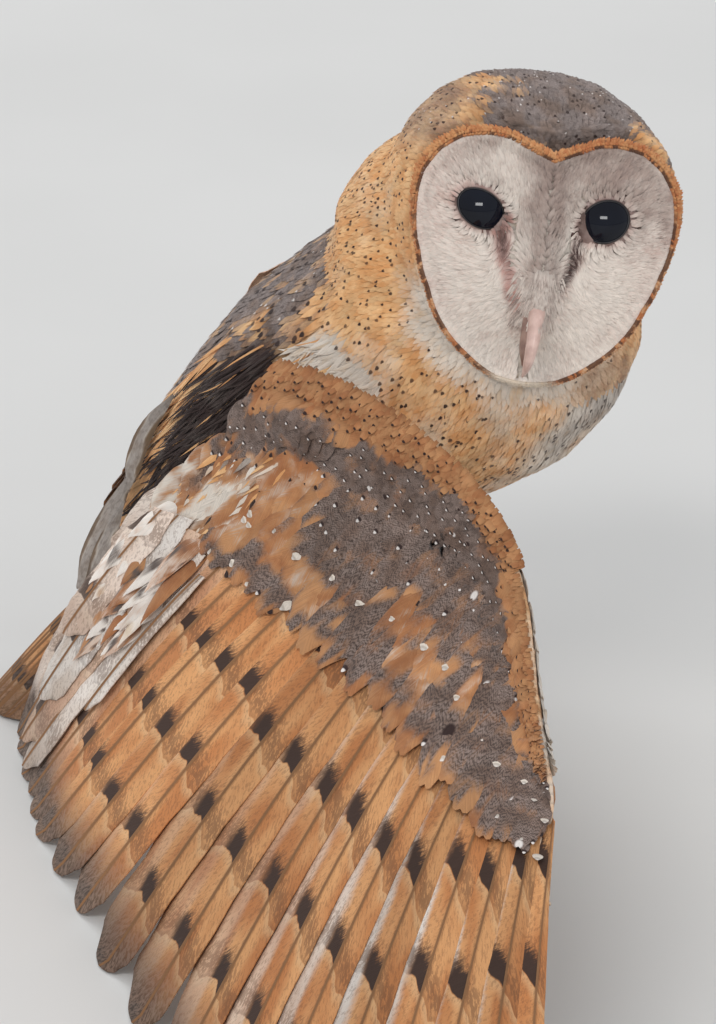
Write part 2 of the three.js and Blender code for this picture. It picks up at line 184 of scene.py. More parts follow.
rightWing = {
    "lead": [(-38, -37, 152), (-12, -62, 153), (16.5, -85, 141), (34.5, -104, 121), (40, -139, 98),
             (44, -172, 83)],
    "root": [(-50, -37, 128), (-24, -58, 131), (5, -80, 124), (27, -98, 110), (36, -136, 91), (45, -177, 76)],
    "tip": [(-117, 22, -3), (-115, 4, -3), (-111, -22, -3), (-104, -56, -3), (-86, -112, -3), (-62, -184, -3),
            (-43, -250, -3), (-16, -306, -3), (15, -343, -3), (46, -354, -3)],
    "outward": unit([-0.35, -0.72, 0.6]),
    "bulge": 13,
    "covert": [0.36, 0.38, 0.4, 0.42, 0.36, 0.3],
    "depth": [5.5, 5.5, 5, 3],
    "thin": 1.6,
}
leftWing = {
    "lead": [onTrunk(0.5, 50, 3), onTrunk(0.56, 27, 5), onTrunk(0.575, 3, 7), onTrunk(0.56, -18, 8),
             onTrunk(0.52, -33, 8), onTrunk(0.47, -44, 8)],
    "root": [onTrunk(0.4, 53, 6), onTrunk(0.45, 30, 7), onTrunk(0.47, 7, 8), onTrunk(0.45, -12, 9),
             onTrunk(0.41, -26, 9), onTrunk(0.36, -36, 9)],
    "tip": [fromBody(-95, 15, 82), fromBody(-105, 16, 66), fromBody(-111, 17, 52), fromBody(-114, 18, 40),
            fromBody(-116, 20, 30), fromBody(-118, 22, 22), fromBody(-120, 24, 15), fromBody(-121, 26, 9.5),
            fromBody(-120, 28, 5), fromBody(-117, 30, 2)],
    "outward": unit([0.2, 0.93, 0.3]),
    "bulge": 9,
    "covert": [0.5, 0.52, 0.52, 0.5, 0.44, 0.36],
    "depth": [3.5, 4.5, 4.5, 3],
    "thin": 2,
}
tail = {
    "root": [(-70, 40, 58), (-66, 34, 68), (-62, 25, 67), (-62, 15, 57)],
    "tip": [(-121, 47, 0), (-127, 41, 0), (-126, 31, 0), (-119, 25, 0)],
    "outward": unit([-0.7, -0.05, 0.72]),
    "bulge": 4,
}


leadShare = 0.18  # of a wing's depth from the leading edge to the feathers' roots


# The surface of a wing or the tail: s runs from feather to feather and v from the leading edge to the tips
def fanAt(fan, s, v):
    s, v = np.broadcast_arrays(np.asarray(s, float), np.asarray(v, float))
    root, tip = lineAt(fan["root"], s), lineAt(fan["tip"], s)
    lead = lineAt(fan["lead"], s) if "lead" in fan else root
    rootShare = leadShare if "lead" in fan else 0.0
    run = ((v - rootShare) / (1 - rootShare))[..., None]
    arc = fan["bulge"] * np.sin(np.pi * np.clip(run, 0, 1)) * (1 - 0.35 * run)
    blade = root + (tip - root) * run + fan["outward"] * arc
    if not rootShare:
        return blade
    return np.where((v < rootShare)[..., None], lead + (root - lead) * (v / rootShare)[..., None], blade)


def fanNormal(fan, s, v):
    s, v = np.broadcast_arrays(np.asarray(s, float), np.asarray(v, float))
    along = fanAt(fan, np.clip(s + 0.012, 0, 1), v) - fanAt(fan, np.clip(s - 0.012, 0, 1), v)
    down = fanAt(fan, s, np.clip(v + 0.012, 0, 1)) - fanAt(fan, s, np.clip(v - 0.012, 0, 1))
    normal = unit(np.cross(along, down))
    return np.where((dot(normal, fan["outward"]) < 0)[..., None], -normal, normal)


# The lengths of a wing's surface from the leading edge to the tips, and from the body to the hand's end
def chordAt(wing, s):
    return np.linalg.norm(fanAt(wing, s, 1) - fanAt(wing, s, 0), axis=-1)


def widthAt(wing, v):
    return np.linalg.norm(np.diff(fanAt(wing, np.linspace(0, 1, 60), v), axis=0), axis=1).sum()


# Half the thickness of the covert-clad part of a wing
def slabDepth(wing, s, v):
    reach = valueAt(wing["covert"], s)
    share = np.clip(v / reach, 0, 1)
    full = mix(valueAt(wing["depth"], s), wing["thin"], ease(share, 0.1, 0.9))
    return full * np.sqrt(np.clip(1 - (2 * share - 1) ** 2, 0.0, 1))


def meshFrom(bm, name):
    mesh = bpy.data.meshes.new(name)
    bm.to_mesh(mesh)
    bm.free()
    return mesh


def addPiece(name, content):
    piece = bpy.data.objects.new(name, content)
    bpy.context.scene.collection.objects.link(piece)
    return piece


def addColours(mesh, tone, mark):
    for key, values in (("tone", tone), ("mark", mark)):
        layer = mesh.attributes.new(key, "FLOAT_COLOR", "POINT")
        layer.data.foreach_set("color", values.astype(np.float32).ravel())


def readPoints(mesh):
    flat = np.zeros(len(mesh.vertices) * 3)
    mesh.vertices.foreach_get("co", flat)
    return flat.reshape(-1, 3)


# One skin over head, neck, trunk, legs and the fleshy parts of the wings, inside them by the coat's depth
skinSet = {
    "nodes": ["head", "neck", "trunk", "leg_right", "leg_left", "wing_right_arm", "wing_right_hand",
              "wing_left_arm", "wing_left_hand"],
    "voxel": 0.0016,
    "smoothing": 5,
    "depth": [1.3, 1.6, 1.8, 1.3, 1.3, 0.9, 0.7, 0.9, 0.7],  # millimetres of coat over each node
}
fleshPoints, fleshFaces, fleshOwner = [], [], []
bm = bmesh.new()
for owner, name in enumerate(skinSet["nodes"]):
    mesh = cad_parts[name].data
    start = len(fleshPoints)
    fleshPoints += [v.co.copy() for v in mesh.vertices]
    fleshFaces += [[start + i for i in p.vertices] for p in mesh.polygons]
    fleshOwner += [owner] * len(mesh.polygons)
    bm.from_mesh(mesh)
bmesh.ops.remove_doubles(bm, verts=bm.verts, dist=1e-5)
skin = addPiece("skin", meshFrom(bm, "skin"))
remesh = skin.modifiers.new("remesh", "REMESH")
remesh.mode = "VOXEL"
remesh.voxel_size = skinSet["voxel"]
skin.data = bpy.data.meshes.new_from_object(skin.evaluated_get(bpy.context.evaluated_depsgraph_get()))
skin.modifiers.clear()
bm = bmesh.new()
bm.from_mesh(skin.data)
for i in range(skinSet["smoothing"]):
    bmesh.ops.smooth_vert(bm, verts=bm.verts, factor=0.5, use_axis_x=True, use_axis_y=True, use_axis_z=True)
bm.to_mesh(skin.data)
bm.free()
print("skin", len(skin.data.vertices))

fleshTree = BVHTree.FromPolygons(fleshPoints, fleshFaces)
points = readPoints(skin.data)
owners = np.array([fleshOwner[fleshTree.find_nearest(p)[2]] for p in points.tolist()])
vertexNormals = np.array([v.normal for v in skin.data.vertices])
sink = np.array(skinSet["depth"])[owners]
points = points - vertexNormals * sink[:, None] * 0.001
# the disc is pressed flat under its tufts, and the brow is drawn back behind the ruff
x, y, z = faceOf(toPose(points)).T
inDisc = ease(discGap(x, y), -0.5, 3)
front = ease(dot(vertexNormals, head["aim"]), 0.15, 0.4) * (np.abs(z - discDepth(x, y)) < 5)
eyeGap = np.hypot(np.abs(x) - head["eyeSpacing"], y - head["eyeHeight"])
share = inDisc * front * (owners == 0) * ease(eyeGap, 8.2, 10)
points = mix(points, toFrame(onFace(x, y, discDepth(x, y) - 0.9)), share[:, None])
past = -discGap(x, y)
brow = ease(past, -0.5, 2) * (1 - ease(past, 4, 8)) * ease(y, 8, 22) * (owners == 0) * ease(z, -16, -11)
points = points - head["aim"] * (brow * 0.0018)[:, None]
points[:, 2] = np.maximum(points[:, 2], 0.0008)
skin.data.vertices.foreach_set("co", points.ravel())
skin.data.update()
bpy.context.view_layer.objects.active = skin
skin.select_set(True)
bpy.ops.object.mode_set(mode="EDIT")
bpy.ops.mesh.select_all(action="SELECT")
bpy.ops.uv.smart_project(angle_limit=math.radians(66), island_margin=0.002)
bpy.ops.object.mode_set(mode="OBJECT")
skin.data.uv_layers.active.name = "OFBake"
skin.data.shade_smooth()
print("skin unwrapped")

skinPoints = toPose(readPoints(skin.data))
skinNormals = np.array([v.normal for v in skin.data.vertices])
skinFaces = [list(p.vertices) for p in skin.data.polygons]
skinTree = BVHTree.FromPolygons([Vector(p) for p in skinPoints.tolist()], skinFaces)
faceNormals = unit(np.array([skinNormals[f].mean(0) for f in skinFaces]))
faceMiddles = np.array([skinPoints[f].mean(0) for f in skinFaces])
faceAreas = np.array([p.area for p in skin.data.polygons]) * 1e6
faceOwners = owners[np.array([f[0] for f in skinFaces])]
uvFlat = np.zeros(len(skin.data.loops) * 2)
skin.data.uv_layers["OFBake"].data.foreach_get("uv", uvFlat)
faceUvs = uvFlat.reshape(-1, 2)[np.array([p.loop_start for p in skin.data.polygons])]


def nearestSkin(places):
    found = [skinTree.find_nearest(p) for p in places.tolist()]
    index = np.array([f[2] for f in found])
    return np.array([f[0] for f in found]), faceNormals[index], index


# Markings. tone holds gold, grey, dark and chance; mark holds dark drop, pale drop, nothing and shade.
waveCount = 14
waveAims = unit(np.random.default_rng(5).normal(size=(waveCount, 3)))
waveStarts = np.random.default_rng(6).uniform(0, 6.28, waveCount)


# A soft random value from 0 to 1 over space, with features about that many millimetres across
def drift(points, size, shift=0.0):
    pace = 6.28 / size * np.linspace(0.7, 1.4, waveCount)
    waves = np.sin(points @ waveAims.T * pace + waveStarts * (1 + shift) + shift * 7)
    return np.clip(0.5 + waves.sum(-1) / 7.5, 0, 1)


# How near places lie to a line of waypoints, 1 on the line and fading over the reach
def nearLine(across, along, line, reach):
    best = np.full(len(across), 1e9)
    for (x, y), (endX, endY) in zip(line[:-1], line[1:]):
        dx, dy = endX - x, endY - y
        t = np.clip(((across - x) * dx + (along - y) * dy) / (dx**2 + dy**2), 0, 1)
        best = np.minimum(best, np.hypot(across - x - t * dx, along - y - t * dy))
    return bump(best, 0, reach)


# Lines on the trunk as (200 x share along it, degrees round it)
trunkMarks = {
    "hollow": [(68, 146), (64, 158), (50, 163), (38, 164), (30, 172)],
    "streak": [(98, 139), (80, 132), (62, 125), (50, 134), (44, 146)],
    "fluff": [(90, 156), (96, 168), (100, 180)],
    "mantleRight": ([0.2, 0.42, 0.5, 0.58, 0.9], [152, 156, 143, 114, 104]),
    "mantleLeft": ([0.2, 0.5, 0.6, 0.9], [-8, 8, 36, 50]),
}


def markBody(points, owner):
    x, y, z = faceOf(points).T
    along, angle = trunkOf(points)[:2]
    blur = drift(points, 22) - 0.5
    fine = drift(points, 7, 2) - 0.5
    ahead = ease(z, -34, -12)
    # the head: grey crown and nape, golden sides, whitish under the disc, greyed on the right under the disc
    # as painted shade
    crown = ease(27 - np.abs(x - 5) + 14 * blur + 10 * fine, -10, 9) * ease(y + 8 * blur, 22, 31)
    nape = ease(24 - np.abs(x - 3) + 12 * blur, -5, 6) * ease(-z, 22, 40) * ease(y, -34, -8)
    # the last share greys the right side under the disc: painted shade
    headGrey = np.maximum.reduce([crown, nape, 0.55 * ease(-x + 6 * blur, 10, 30) * ease(y, 16, 32),
                                   0.5 * ease(x + 6 * blur, 6, 26) * ease(-y, 20, 34)])
    chin = 0.8 * ease(8 * ease(-y, -6, 22) + 9 * ease(x, 4, 24) + 2 + 5 * blur + discGap(x, y), -8, 8)
    chin = chin * ease(-y, -10, 16) * ahead
    # the trunk: grey mantle, gold breast, white belly, greyed on the right below the head as painted shade
    right = np.interp(along, *trunkMarks["mantleRight"])
    left = np.interp(along, *trunkMarks["mantleLeft"])
    mantle = ease(right - angle + 22 * blur, -7, 7) * ease(angle - left + 20 * blur, -8, 8)
    mantle = mantle * ease(along, 0.06, 0.14) * (1 - ease(along, 0.95, 1.0))
    streak = nearLine(200 * along, angle, trunkMarks["streak"], 7) * ease(fine + blur, -0.4, 0.1)
    flecks = ease(drift(points, 10, 3), 0.68, 0.85) * 0.45
    fluff = nearLine(200 * along, angle, trunkMarks["fluff"], 8)
    hollow = nearLine(200 * along, angle, trunkMarks["hollow"], 15)
    belly = ease(-angle, 20, 45) * ease(angle, -175, -150) * (1 - ease(along + 0.1 * blur, 0.36, 0.47))
    bodyGrey = mantle * (1 - np.maximum(streak, flecks)) * (1 - fluff)
    # greyer on the right below the head: painted shade
    bodyGrey = np.maximum(bodyGrey, 0.5 * ease(x + 10 * blur, 4, 26) * ease(-y, 28, 44) * (1 - mantle))
    plainWhite = 0.2 + 0.4 * blur + 0.6 * ease(x, -16, 30) * (1 - mantle)
    bodyWhite = np.clip(np.maximum.reduce([belly, chin * ease(along, 0.5, 0.6), fluff, plainWhite]), 0, 1)
    bodyWhite = bodyWhite * (1 - mantle * (1 - fluff))
    onHead = owner == 0
    grey = np.where(onHead, headGrey, bodyGrey)
    white = np.where(onHead, np.maximum(chin, 0.12 + 0.3 * blur) * (1 - headGrey), bodyWhite)
    legs = (owner == 3) | (owner == 4)
    grey, white = np.where(legs, 0, grey), np.where(legs, 0.85, white)
    dark = np.where(onHead | legs, 0, hollow)
    gold = np.clip(1 - white, 0, 1)
    chance = dice.random(len(points))
    thick = np.where(onHead, 0.06 + 0.1 * ease(-x, -5, 15), mix(0.15, 0.11, ease(x, -40, 0)))
    dotted = np.where(grey > 0.5, 0.17, thick) * np.where(gold + grey < 0.25, 0.3, 1.0)
    drops = (dice.random(len(points)) < dotted) * mix(0.75, 1, dice.random(len(points))) * ~legs
    pale = (dice.random(len(points)) < 0.1) * (grey > 0.5) * 0.8
    shade = 0.5 + 0.45 * (drift(points, 9, 1) - 0.5) + 0.2 * (chance - 0.5)
    return np.stack([gold, grey, dark, chance], 1), np.stack([drops, pale, 0 * shade, shade], 1)


# Where the orange ends and the coverts end, from the body (s = 0) to the hand's end (s = 1)
wingMarks = {
    "edge": ([0, 0.23, 0.36, 0.42, 0.5, 0.61, 0.72, 0.8, 0.87, 0.94, 1],
             [0.4, 0.44, 0.44, 0.43, 0.42, 0.4, 0.37, 0.35, 0.33, 0.3, 0.27]),
    "strip": ([0, 0.15, 0.22, 0.3, 0.4, 0.5, 0.58, 0.66, 0.74, 0.82, 0.9, 0.97],
              [0.1, 0.095, 0.09, 0.075, 0.05, 0.045, 0.07, 0.1, 0.16, 0.23, 0.2, 0.1]),
    # orange patches: the middle and reach along s, then along v
    "patches": [(0.15, 0.07, 0.2, 0.03), (0.21, 0.05, 0.34, 0.05), (0.335, 0.03, 0.36, 0.03),
                (0.235, 0.03, 0.28, 0.02), (0.2, 0.07, 0.25, 0.05), (0.06, 0.05, 0.27, 0.07),
                (0.13, 0.05, 0.33, 0.05), (0.57, 0.05, 0.335, 0.04), (0.38, 0.035, 0.37, 0.025),
                (0.5, 0.03, 0.3, 0.025), (0.66, 0.04, 0.28, 0.04), (0.3, 0.03, 0.35, 0.02)],
}


def markWing(points, s, v, under):
    blur, fine = drift(points, 15, 2) - 0.5, drift(points, 6, 5) - 0.5
    strip = ease(np.interp(s, *wingMarks["strip"]) - v + 0.035 * blur + 0.02 * fine, -0.012, 0.012)
    patches = sum(bump(s, a, b) * bump(v, c, d) for a, b, c, d in wingMarks["patches"])
    flecks = ease(drift(points, 8, 4), 0.7, 0.85) * 0.35
    fringe = ease(v - np.interp(s, *wingMarks["edge"]) + 0.05 * fine, -0.02, 0.004)
    fringe = fringe * mix(0.95, 0.45, ease(s, 0.75, 0.95))
    gold = np.maximum.reduce([strip, ease(patches + 0.5 * blur + 0.35 * fine, 0.25, 0.75), flecks, fringe])
    grey = np.where(under, 0.0, 1 - gold)
    messy = ease(0.16 - s, -0.03, 0.06) * ease(v, 0.22, 0.36)
    white = np.clip(messy * (0.5 + 1.4 * fine) + 0.55 * (strip < 0.5) * ease(patches, 0.3, 0.8) * (0.3 + fine)
                    + 0.7 * bump(s, 0.73, 0.05) * ease(0.015 - v, -0.01, 0.01), 0, 1)
    grey = grey * (1 - 0.8 * messy)
    gold = np.where(under, 0.12, 1 - white)
    chance = dice.random(len(points))
    drops = (dice.random(len(points)) < np.where(strip > 0.5, 0.09, 0.05))
    pale = (dice.random(len(points)) < 0.05) * (grey > 0.5)
    shade = 0.5 + 0.45 * (drift(points, 8, 5) - 0.5) + 0.2 * (chance - 0.5)
    return np.stack([gold, grey, 0 * shade, chance], 1), np.stack([drops, pale, 0 * shade, shade], 1)


def shapeOf(bm, rim):
    loops = [[v.index for v in f.verts] for f in bm.faces]
    return {
        "points": np.array([v.co[:] for v in bm.verts]),
        "loops": np.array([i for f in loops for i in f]),
        "sizes": np.array([len(f) for f in loops]),
        "rim": rim,
    }


# One vane as a closed mesh: x across from -1 to 1, y along from 0 to 1, z up in half widths. Its underside is
# a strip from edge to edge.
def vaneShape(columns, rows, outline, roundness=0.2, arch=0.25, fringe=0.0, seed=1):
    bm = bmesh.new()
    bmesh.ops.create_grid(bm, x_segments=columns, y_segments=rows, size=1)
    comb = np.random.default_rng(seed).uniform(-1, 1, columns + 1)
    for v in bm.verts:
        a, b = v.co.x, (v.co.y + 1) / 2
        wide = float(valueAt(outline, b))
        ragged = comb[int(round((a + 1) * columns / 2))] * fringe * b**4
        v.co = (a * wide, b - roundness * a * a * b**3 + ragged, arch * (1 - a * a) * wide)
    bm.verts.ensure_lookup_table()
    rim = {frozenset(v.index for v in e.verts) for e in bm.edges if e.is_boundary}
    ends = [e for e in bm.edges if e.is_boundary]
    left = [e for e in ends if all(v.index % (columns + 1) == 0 for v in e.verts)]
    right = [e for e in ends if all(v.index % (columns + 1) == columns for v in e.verts)]
    bmesh.ops.bridge_loops(bm, edges=left + right)
    bmesh.ops.holes_fill(bm, edges=[e for e in bm.edges if e.is_boundary], sides=0)
    bmesh.ops.recalc_face_normals(bm, faces=bm.faces)
    bm.verts.index_update()
    shape = shapeOf(bm, rim)
    bm.free()
    return shape


bakeSpan = 0.003  # how much of the skin's unwrapped sheet a vane takes up, around its root


# Many copies of a shape as one piece, with each copy's colours and maps
def joinShapes(name, shape, places, tone, mark, roots, material, slot):
    count, size = places.shape[:2]
    loops, starts = shape["loops"], np.cumsum(shape["sizes"]) - shape["sizes"]
    mesh = bpy.data.meshes.new(name)
    mesh.vertices.add(count * size)
    mesh.vertices.foreach_set("co", toFrame(places).ravel())
    mesh.loops.add(count * len(loops))
    mesh.loops.foreach_set("vertex_index", (loops + np.arange(count)[:, None] * size).ravel())
    mesh.polygons.add(count * len(starts))
    mesh.polygons.foreach_set("loop_start", (starts + np.arange(count)[:, None] * len(loops)).ravel())
    mesh.update(calc_edges=True)
    mesh.shade_smooth()
    ends = np.zeros(len(mesh.edges) * 2, int)
    mesh.edges.foreach_get("vertices", ends)
    ends = ends.reshape(-1, 2) % size
    sharp = np.zeros((size, size), bool)
    for pair in shape["rim"]:
        a, b = tuple(pair)
        sharp[a, b] = sharp[b, a] = True
    edges = mesh.attributes.new("sharp_edge", "BOOLEAN", "EDGE")
    edges.data.foreach_set("value", sharp[ends[:, 0], ends[:, 1]])
    addColours(mesh, *(np.repeat(v[:, None], size, axis=1) if v.ndim == 2 else v for v in (tone, mark)))
    own = shape["uv"] if "uv" in shape else shape["points"][:, :2] * [0.5, 1] + [0.5, 0]
    own = np.broadcast_to(own[loops], (count, len(loops), 2)) if own.ndim == 2 else own[:, loops]
    mesh.uv_layers.new(name="vane").data.foreach_set("uv", own.astype(np.float32).ravel())
    patch = (shape["points"][loops][:, :2] * [0.5, 1] - [0, 0.5]) * bakeSpan
    spot = faceUvs[nearestSkin(roots)[2]][:, None] + patch
    mesh.uv_layers.new(name="OFBake").data.foreach_set("uv", spot.astype(np.float32).ravel())
    mesh.materials.append(material)
    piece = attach(addPiece(name, mesh), "root")
    print(name, count, "vanes", sum(shape["sizes"] - 2) * count, "triangles")
    return piece


vaneSpan = {"across": 60.0, "along": 300.0}  # millimetres that a flight feather's own UV map spans
vaneFloor = 0.15  # the lowest that a vane's points may lie


# Vanes bent along their own paths: paths and normals hold a few stations for each
def layVanes(name, shape, paths, normals, halfWidth, tone, mark, material, slot, field=None):
    steps = paths.shape[1]
    x, y, z = shape["points"].T
    row = np.clip(y, 0, 1.15) * (steps - 1)
    i = np.minimum(row.astype(int), steps - 2)
    w = (row - i)[None, :, None]
    place = paths[:, i] * (1 - w) + paths[:, i + 1] * w
    lift = unit(normals[:, i] * (1 - w) + normals[:, i + 1] * w)
    ahead = unit(paths[:, i + 1] - paths[:, i])
    across = unit(np.cross(ahead, lift))
    wide = np.asarray(halfWidth)[:, None, None]
    places = place + across * x[None, :, None] * wide + lift * z[None, :, None] * wide
    places[..., 2] = np.maximum(places[..., 2], vaneFloor)
    if field:
        tone = np.repeat(tone[:, None], len(x), 1)
        tone[..., :3] = field(places, x[None] * np.asarray(halfWidth)[:, None], y)
    joinShapes(name, shape, places, tone, mark, paths[:, 0], material, slot)


# Roots spread over part of the skin, none nearer to another than the spacing
def scatter(chosen, spacing, seed):
    pick = np.random.default_rng(seed)
    index = np.flatnonzero(chosen)
    area = faceAreas[index]
    tries = int(area.sum() / spacing**2 * 3)
    at = pick.choice(index, tries, p=area / area.sum())
    corners = np.array([skinPoints[skinFaces[k][:3]] for k in at])
    share = pick.dirichlet([1, 1, 1], tries)
    places = (corners * share[:, :, None]).sum(1)
    tree = KDTree(tries)
    for k, p in enumerate(places.tolist()):
        tree.insert(p, k)
    tree.balance()
    free = np.ones(tries, bool)
    for k, p in enumerate(places.tolist()):
        if free[k]:
            free[[found[1] for found in tree.find_range(p, spacing) if found[1] > k]] = False
    return places[free], at[free]


def flowAt(points, normals, owner):
    x, y, z = faceOf(points).T
    radial = unit(np.stack([x, y, 0 * x], 1))
    down = np.array([0, 0, -1.0])
    behind = ease(-z, 22, 58)[:, None]
    headFlow = (radial * (1 - behind) * 0.8) @ faceAxes - head["aim"] * 0.9 * (1 - 0.6 * behind)
    headFlow = headFlow + down * 1.1 * behind
    bodyFlow = -spineAhead[trunkOf(points)[2]]
    onHead = (owner == 0) * (ease(12 + z - y * 0.4, -30, 30) * 0.5 + 0.5)
    flow = mix(bodyFlow, headFlow, onHead[:, None])
    flow = np.where(((owner == 3) | (owner == 4))[:, None], down, flow)
    flow = flow + 0.22 * (np.stack([drift(points, 15, k) for k in (1, 2, 3)], 1) - 0.5)
    return unit(flow - dot(flow, normals)[:, None] * normals)


# Walks each feather over the skin from its root, rising to the coat's outer side
def walk(roots, index, lengths, lifts, steps=4):
    at, normal, owner = roots, faceNormals[index], faceOwners[index]
    paths, ups = [], []
    for k in range(steps + 1):
        share = k / steps
        paths.append(at + normal * (mix(-0.1, lifts, share**0.8))[:, None])
        ups.append(normal)
        way = flowAt(at, normal, owner) if k == 0 else unit(way - dot(way, normal)[:, None] * normal)
        at, normal = nearestSkin(at + way * (lengths / steps)[:, None])[:2]
    return np.stack(paths, 1), np.stack(ups, 1)


# Materials. Sums and products of these shader values turn into Math nodes.
class Value:
    def __init__(self, socket):
        self.socket = socket

    def maths(self, operation, other=0.0):
        return put(self.socket.id_data, "Math", {0: self, 1: other}, operation=operation)

    def __add__(self, other):
        return self.maths("ADD", other)

    def __sub__(self, other):
        return self.maths("SUBTRACT", other)

    def __mul__(self, other):
        return self.maths("MULTIPLY", other)

    def __truediv__(self, other):
        return self.maths("DIVIDE", other)

    def soften(self, low, high, start=0.0, end=1.0):
        sources = {"Value": self, "From Min": low, "From Max": high, "To Min": start, "To Max": end}
        return put(self.socket.id_data, "MapRange", sources, interpolation_type="SMOOTHSTEP")

    # The first colour where the value is 0 and the second where it is 1
    def blend(self, first, second):
        return put(self.socket.id_data, "Mix", {0: self, 6: first, 7: second}, 2, data_type="RGBA")


# Adds a node and returns one of its outputs, or all of them when the output is None
def put(tree, kind, sources=None, output=0, **settings):
    made = tree.nodes.new("ShaderNode" + kind)
    for key, value in settings.items():
        setattr(made, key, value)
    for socket, source in (sources or {}).items():
        if isinstance(source, Value):
            tree.links.new(source.socket, made.inputs[socket])
        else:
            made.inputs[socket].default_value = source
    return [Value(socket) for socket in made.outputs] if output is None else Value(made.outputs[output])


def putNoise(tree, place, size, detail, roughness=0.5):
    return put(tree, "TexNoise", {"Vector": place, "Scale": size, "Detail": detail, "Roughness": roughness})


def colour(r, g, b):
    return tuple(((c / 255 + 0.055) / 1.055) ** 2.4 for c in (r, g, b)) + (1.0,)


def newGroup(name, count):
    group = bpy.data.node_groups.new(name, "ShaderNodeTree")
    for label, value in {"Across": 0.5, "Along": 0.5, "Count": count, "Chance": 0.0}.items():
        group.interface.new_socket(label, in_out="INPUT", socket_type="NodeSocketFloat").default_value = value
    group.interface.new_socket("Lines", in_out="OUTPUT", socket_type="NodeSocketFloat")
    across, along, count, chance = [Value(socket) for socket in group.nodes.new("NodeGroupInput").outputs][:4]
    return group, across - 0.5, along, count, chance


def closeGroup(group, lines):
    group.links.new(lines.socket, group.nodes.new("NodeGroupOutput").inputs["Lines"])


# Fine barbs that run out from a vane's shaft towards its tip
barbs, side, along, count, chance = newGroup("barbs", 30.0)
side = side.maths("ABSOLUTE")
place = put(barbs, "CombineXYZ", {0: (along - side * 1.2) * count, 1: side * 2.0, 2: chance * 50.0})
closeGroup(barbs, putNoise(barbs, place, 1.0, 1.0).soften(0.3, 0.7))

# Thin wavy dark lines across a vane, as on a barn owl's grey feathers
ripples, side, along, count, chance = newGroup("ripples", 6.0)
curve = along + side * side * 0.7
place = put(ripples, "CombineXYZ", {0: side * 3.0, 1: curve, 2: chance * 40.0})
wave = (curve * count + putNoise(ripples, place, 5.0, 2.0) * 4.5) * 6.283
closeGroup(ripples, wave.maths("SINE").soften(-0.2, 0.75))

coatColours = {
    "white": colour(226, 214, 200),
    "cream": colour(216, 190, 158),
    "gold": colour(240, 192, 138),
    "orange": colour(216, 154, 98),
    "grey": colour(150, 137, 132),
    "greyWarm": colour(138, 118, 106),
    "greyDeep": colour(96, 82, 76),
    "dark": colour(52, 36, 33),
    "pale": colour(226, 218, 212),
}
wingColours = {
    **coatColours,
    "gold": colour(190, 138, 94),
    "orange": colour(160, 104, 66),
    "grey": colour(138, 120, 111),
    "greyWarm": colour(120, 98, 86),
    "greyDeep": colour(76, 62, 56),
}


def newMaterial(name):
    material = bpy.data.materials.new(name)
    material.use_nodes = True
    return material, material.node_tree


def dress(material, base, height, strength, distance, values):
    tree = material.node_tree
    inputs = tree.nodes["Principled BSDF"].inputs
    relief = put(tree, "Bump", {"Height": height, "Strength": strength, "Distance": distance})
    for label, source in (("Base Color", base), ("Normal", relief)):
        tree.links.new(source.socket, inputs[label])
    for label, value in values.items():
        inputs[label].default_value = value
    return material


# The four numbers that a piece's points carry under a name
def readLayer(tree, name):
    whole, last = (put(tree, "Attribute", None, output, attribute_name=name) for output in ("Color", "Alpha"))
    return *put(tree, "SeparateColor", {0: whole}, None), last


def readVane(tree):
    return put(tree, "SeparateXYZ", {0: put(tree, "UVMap", uv_map="vane")}, None)[:2]


def darken(tree, base, light):
    grey = put(tree, "CombineColor", {0: light, 1: light, 2: light})
    return put(tree, "Mix", {0: 1.0, 6: base, 7: grey}, 2, data_type="RGBA", blend_type="MULTIPLY")


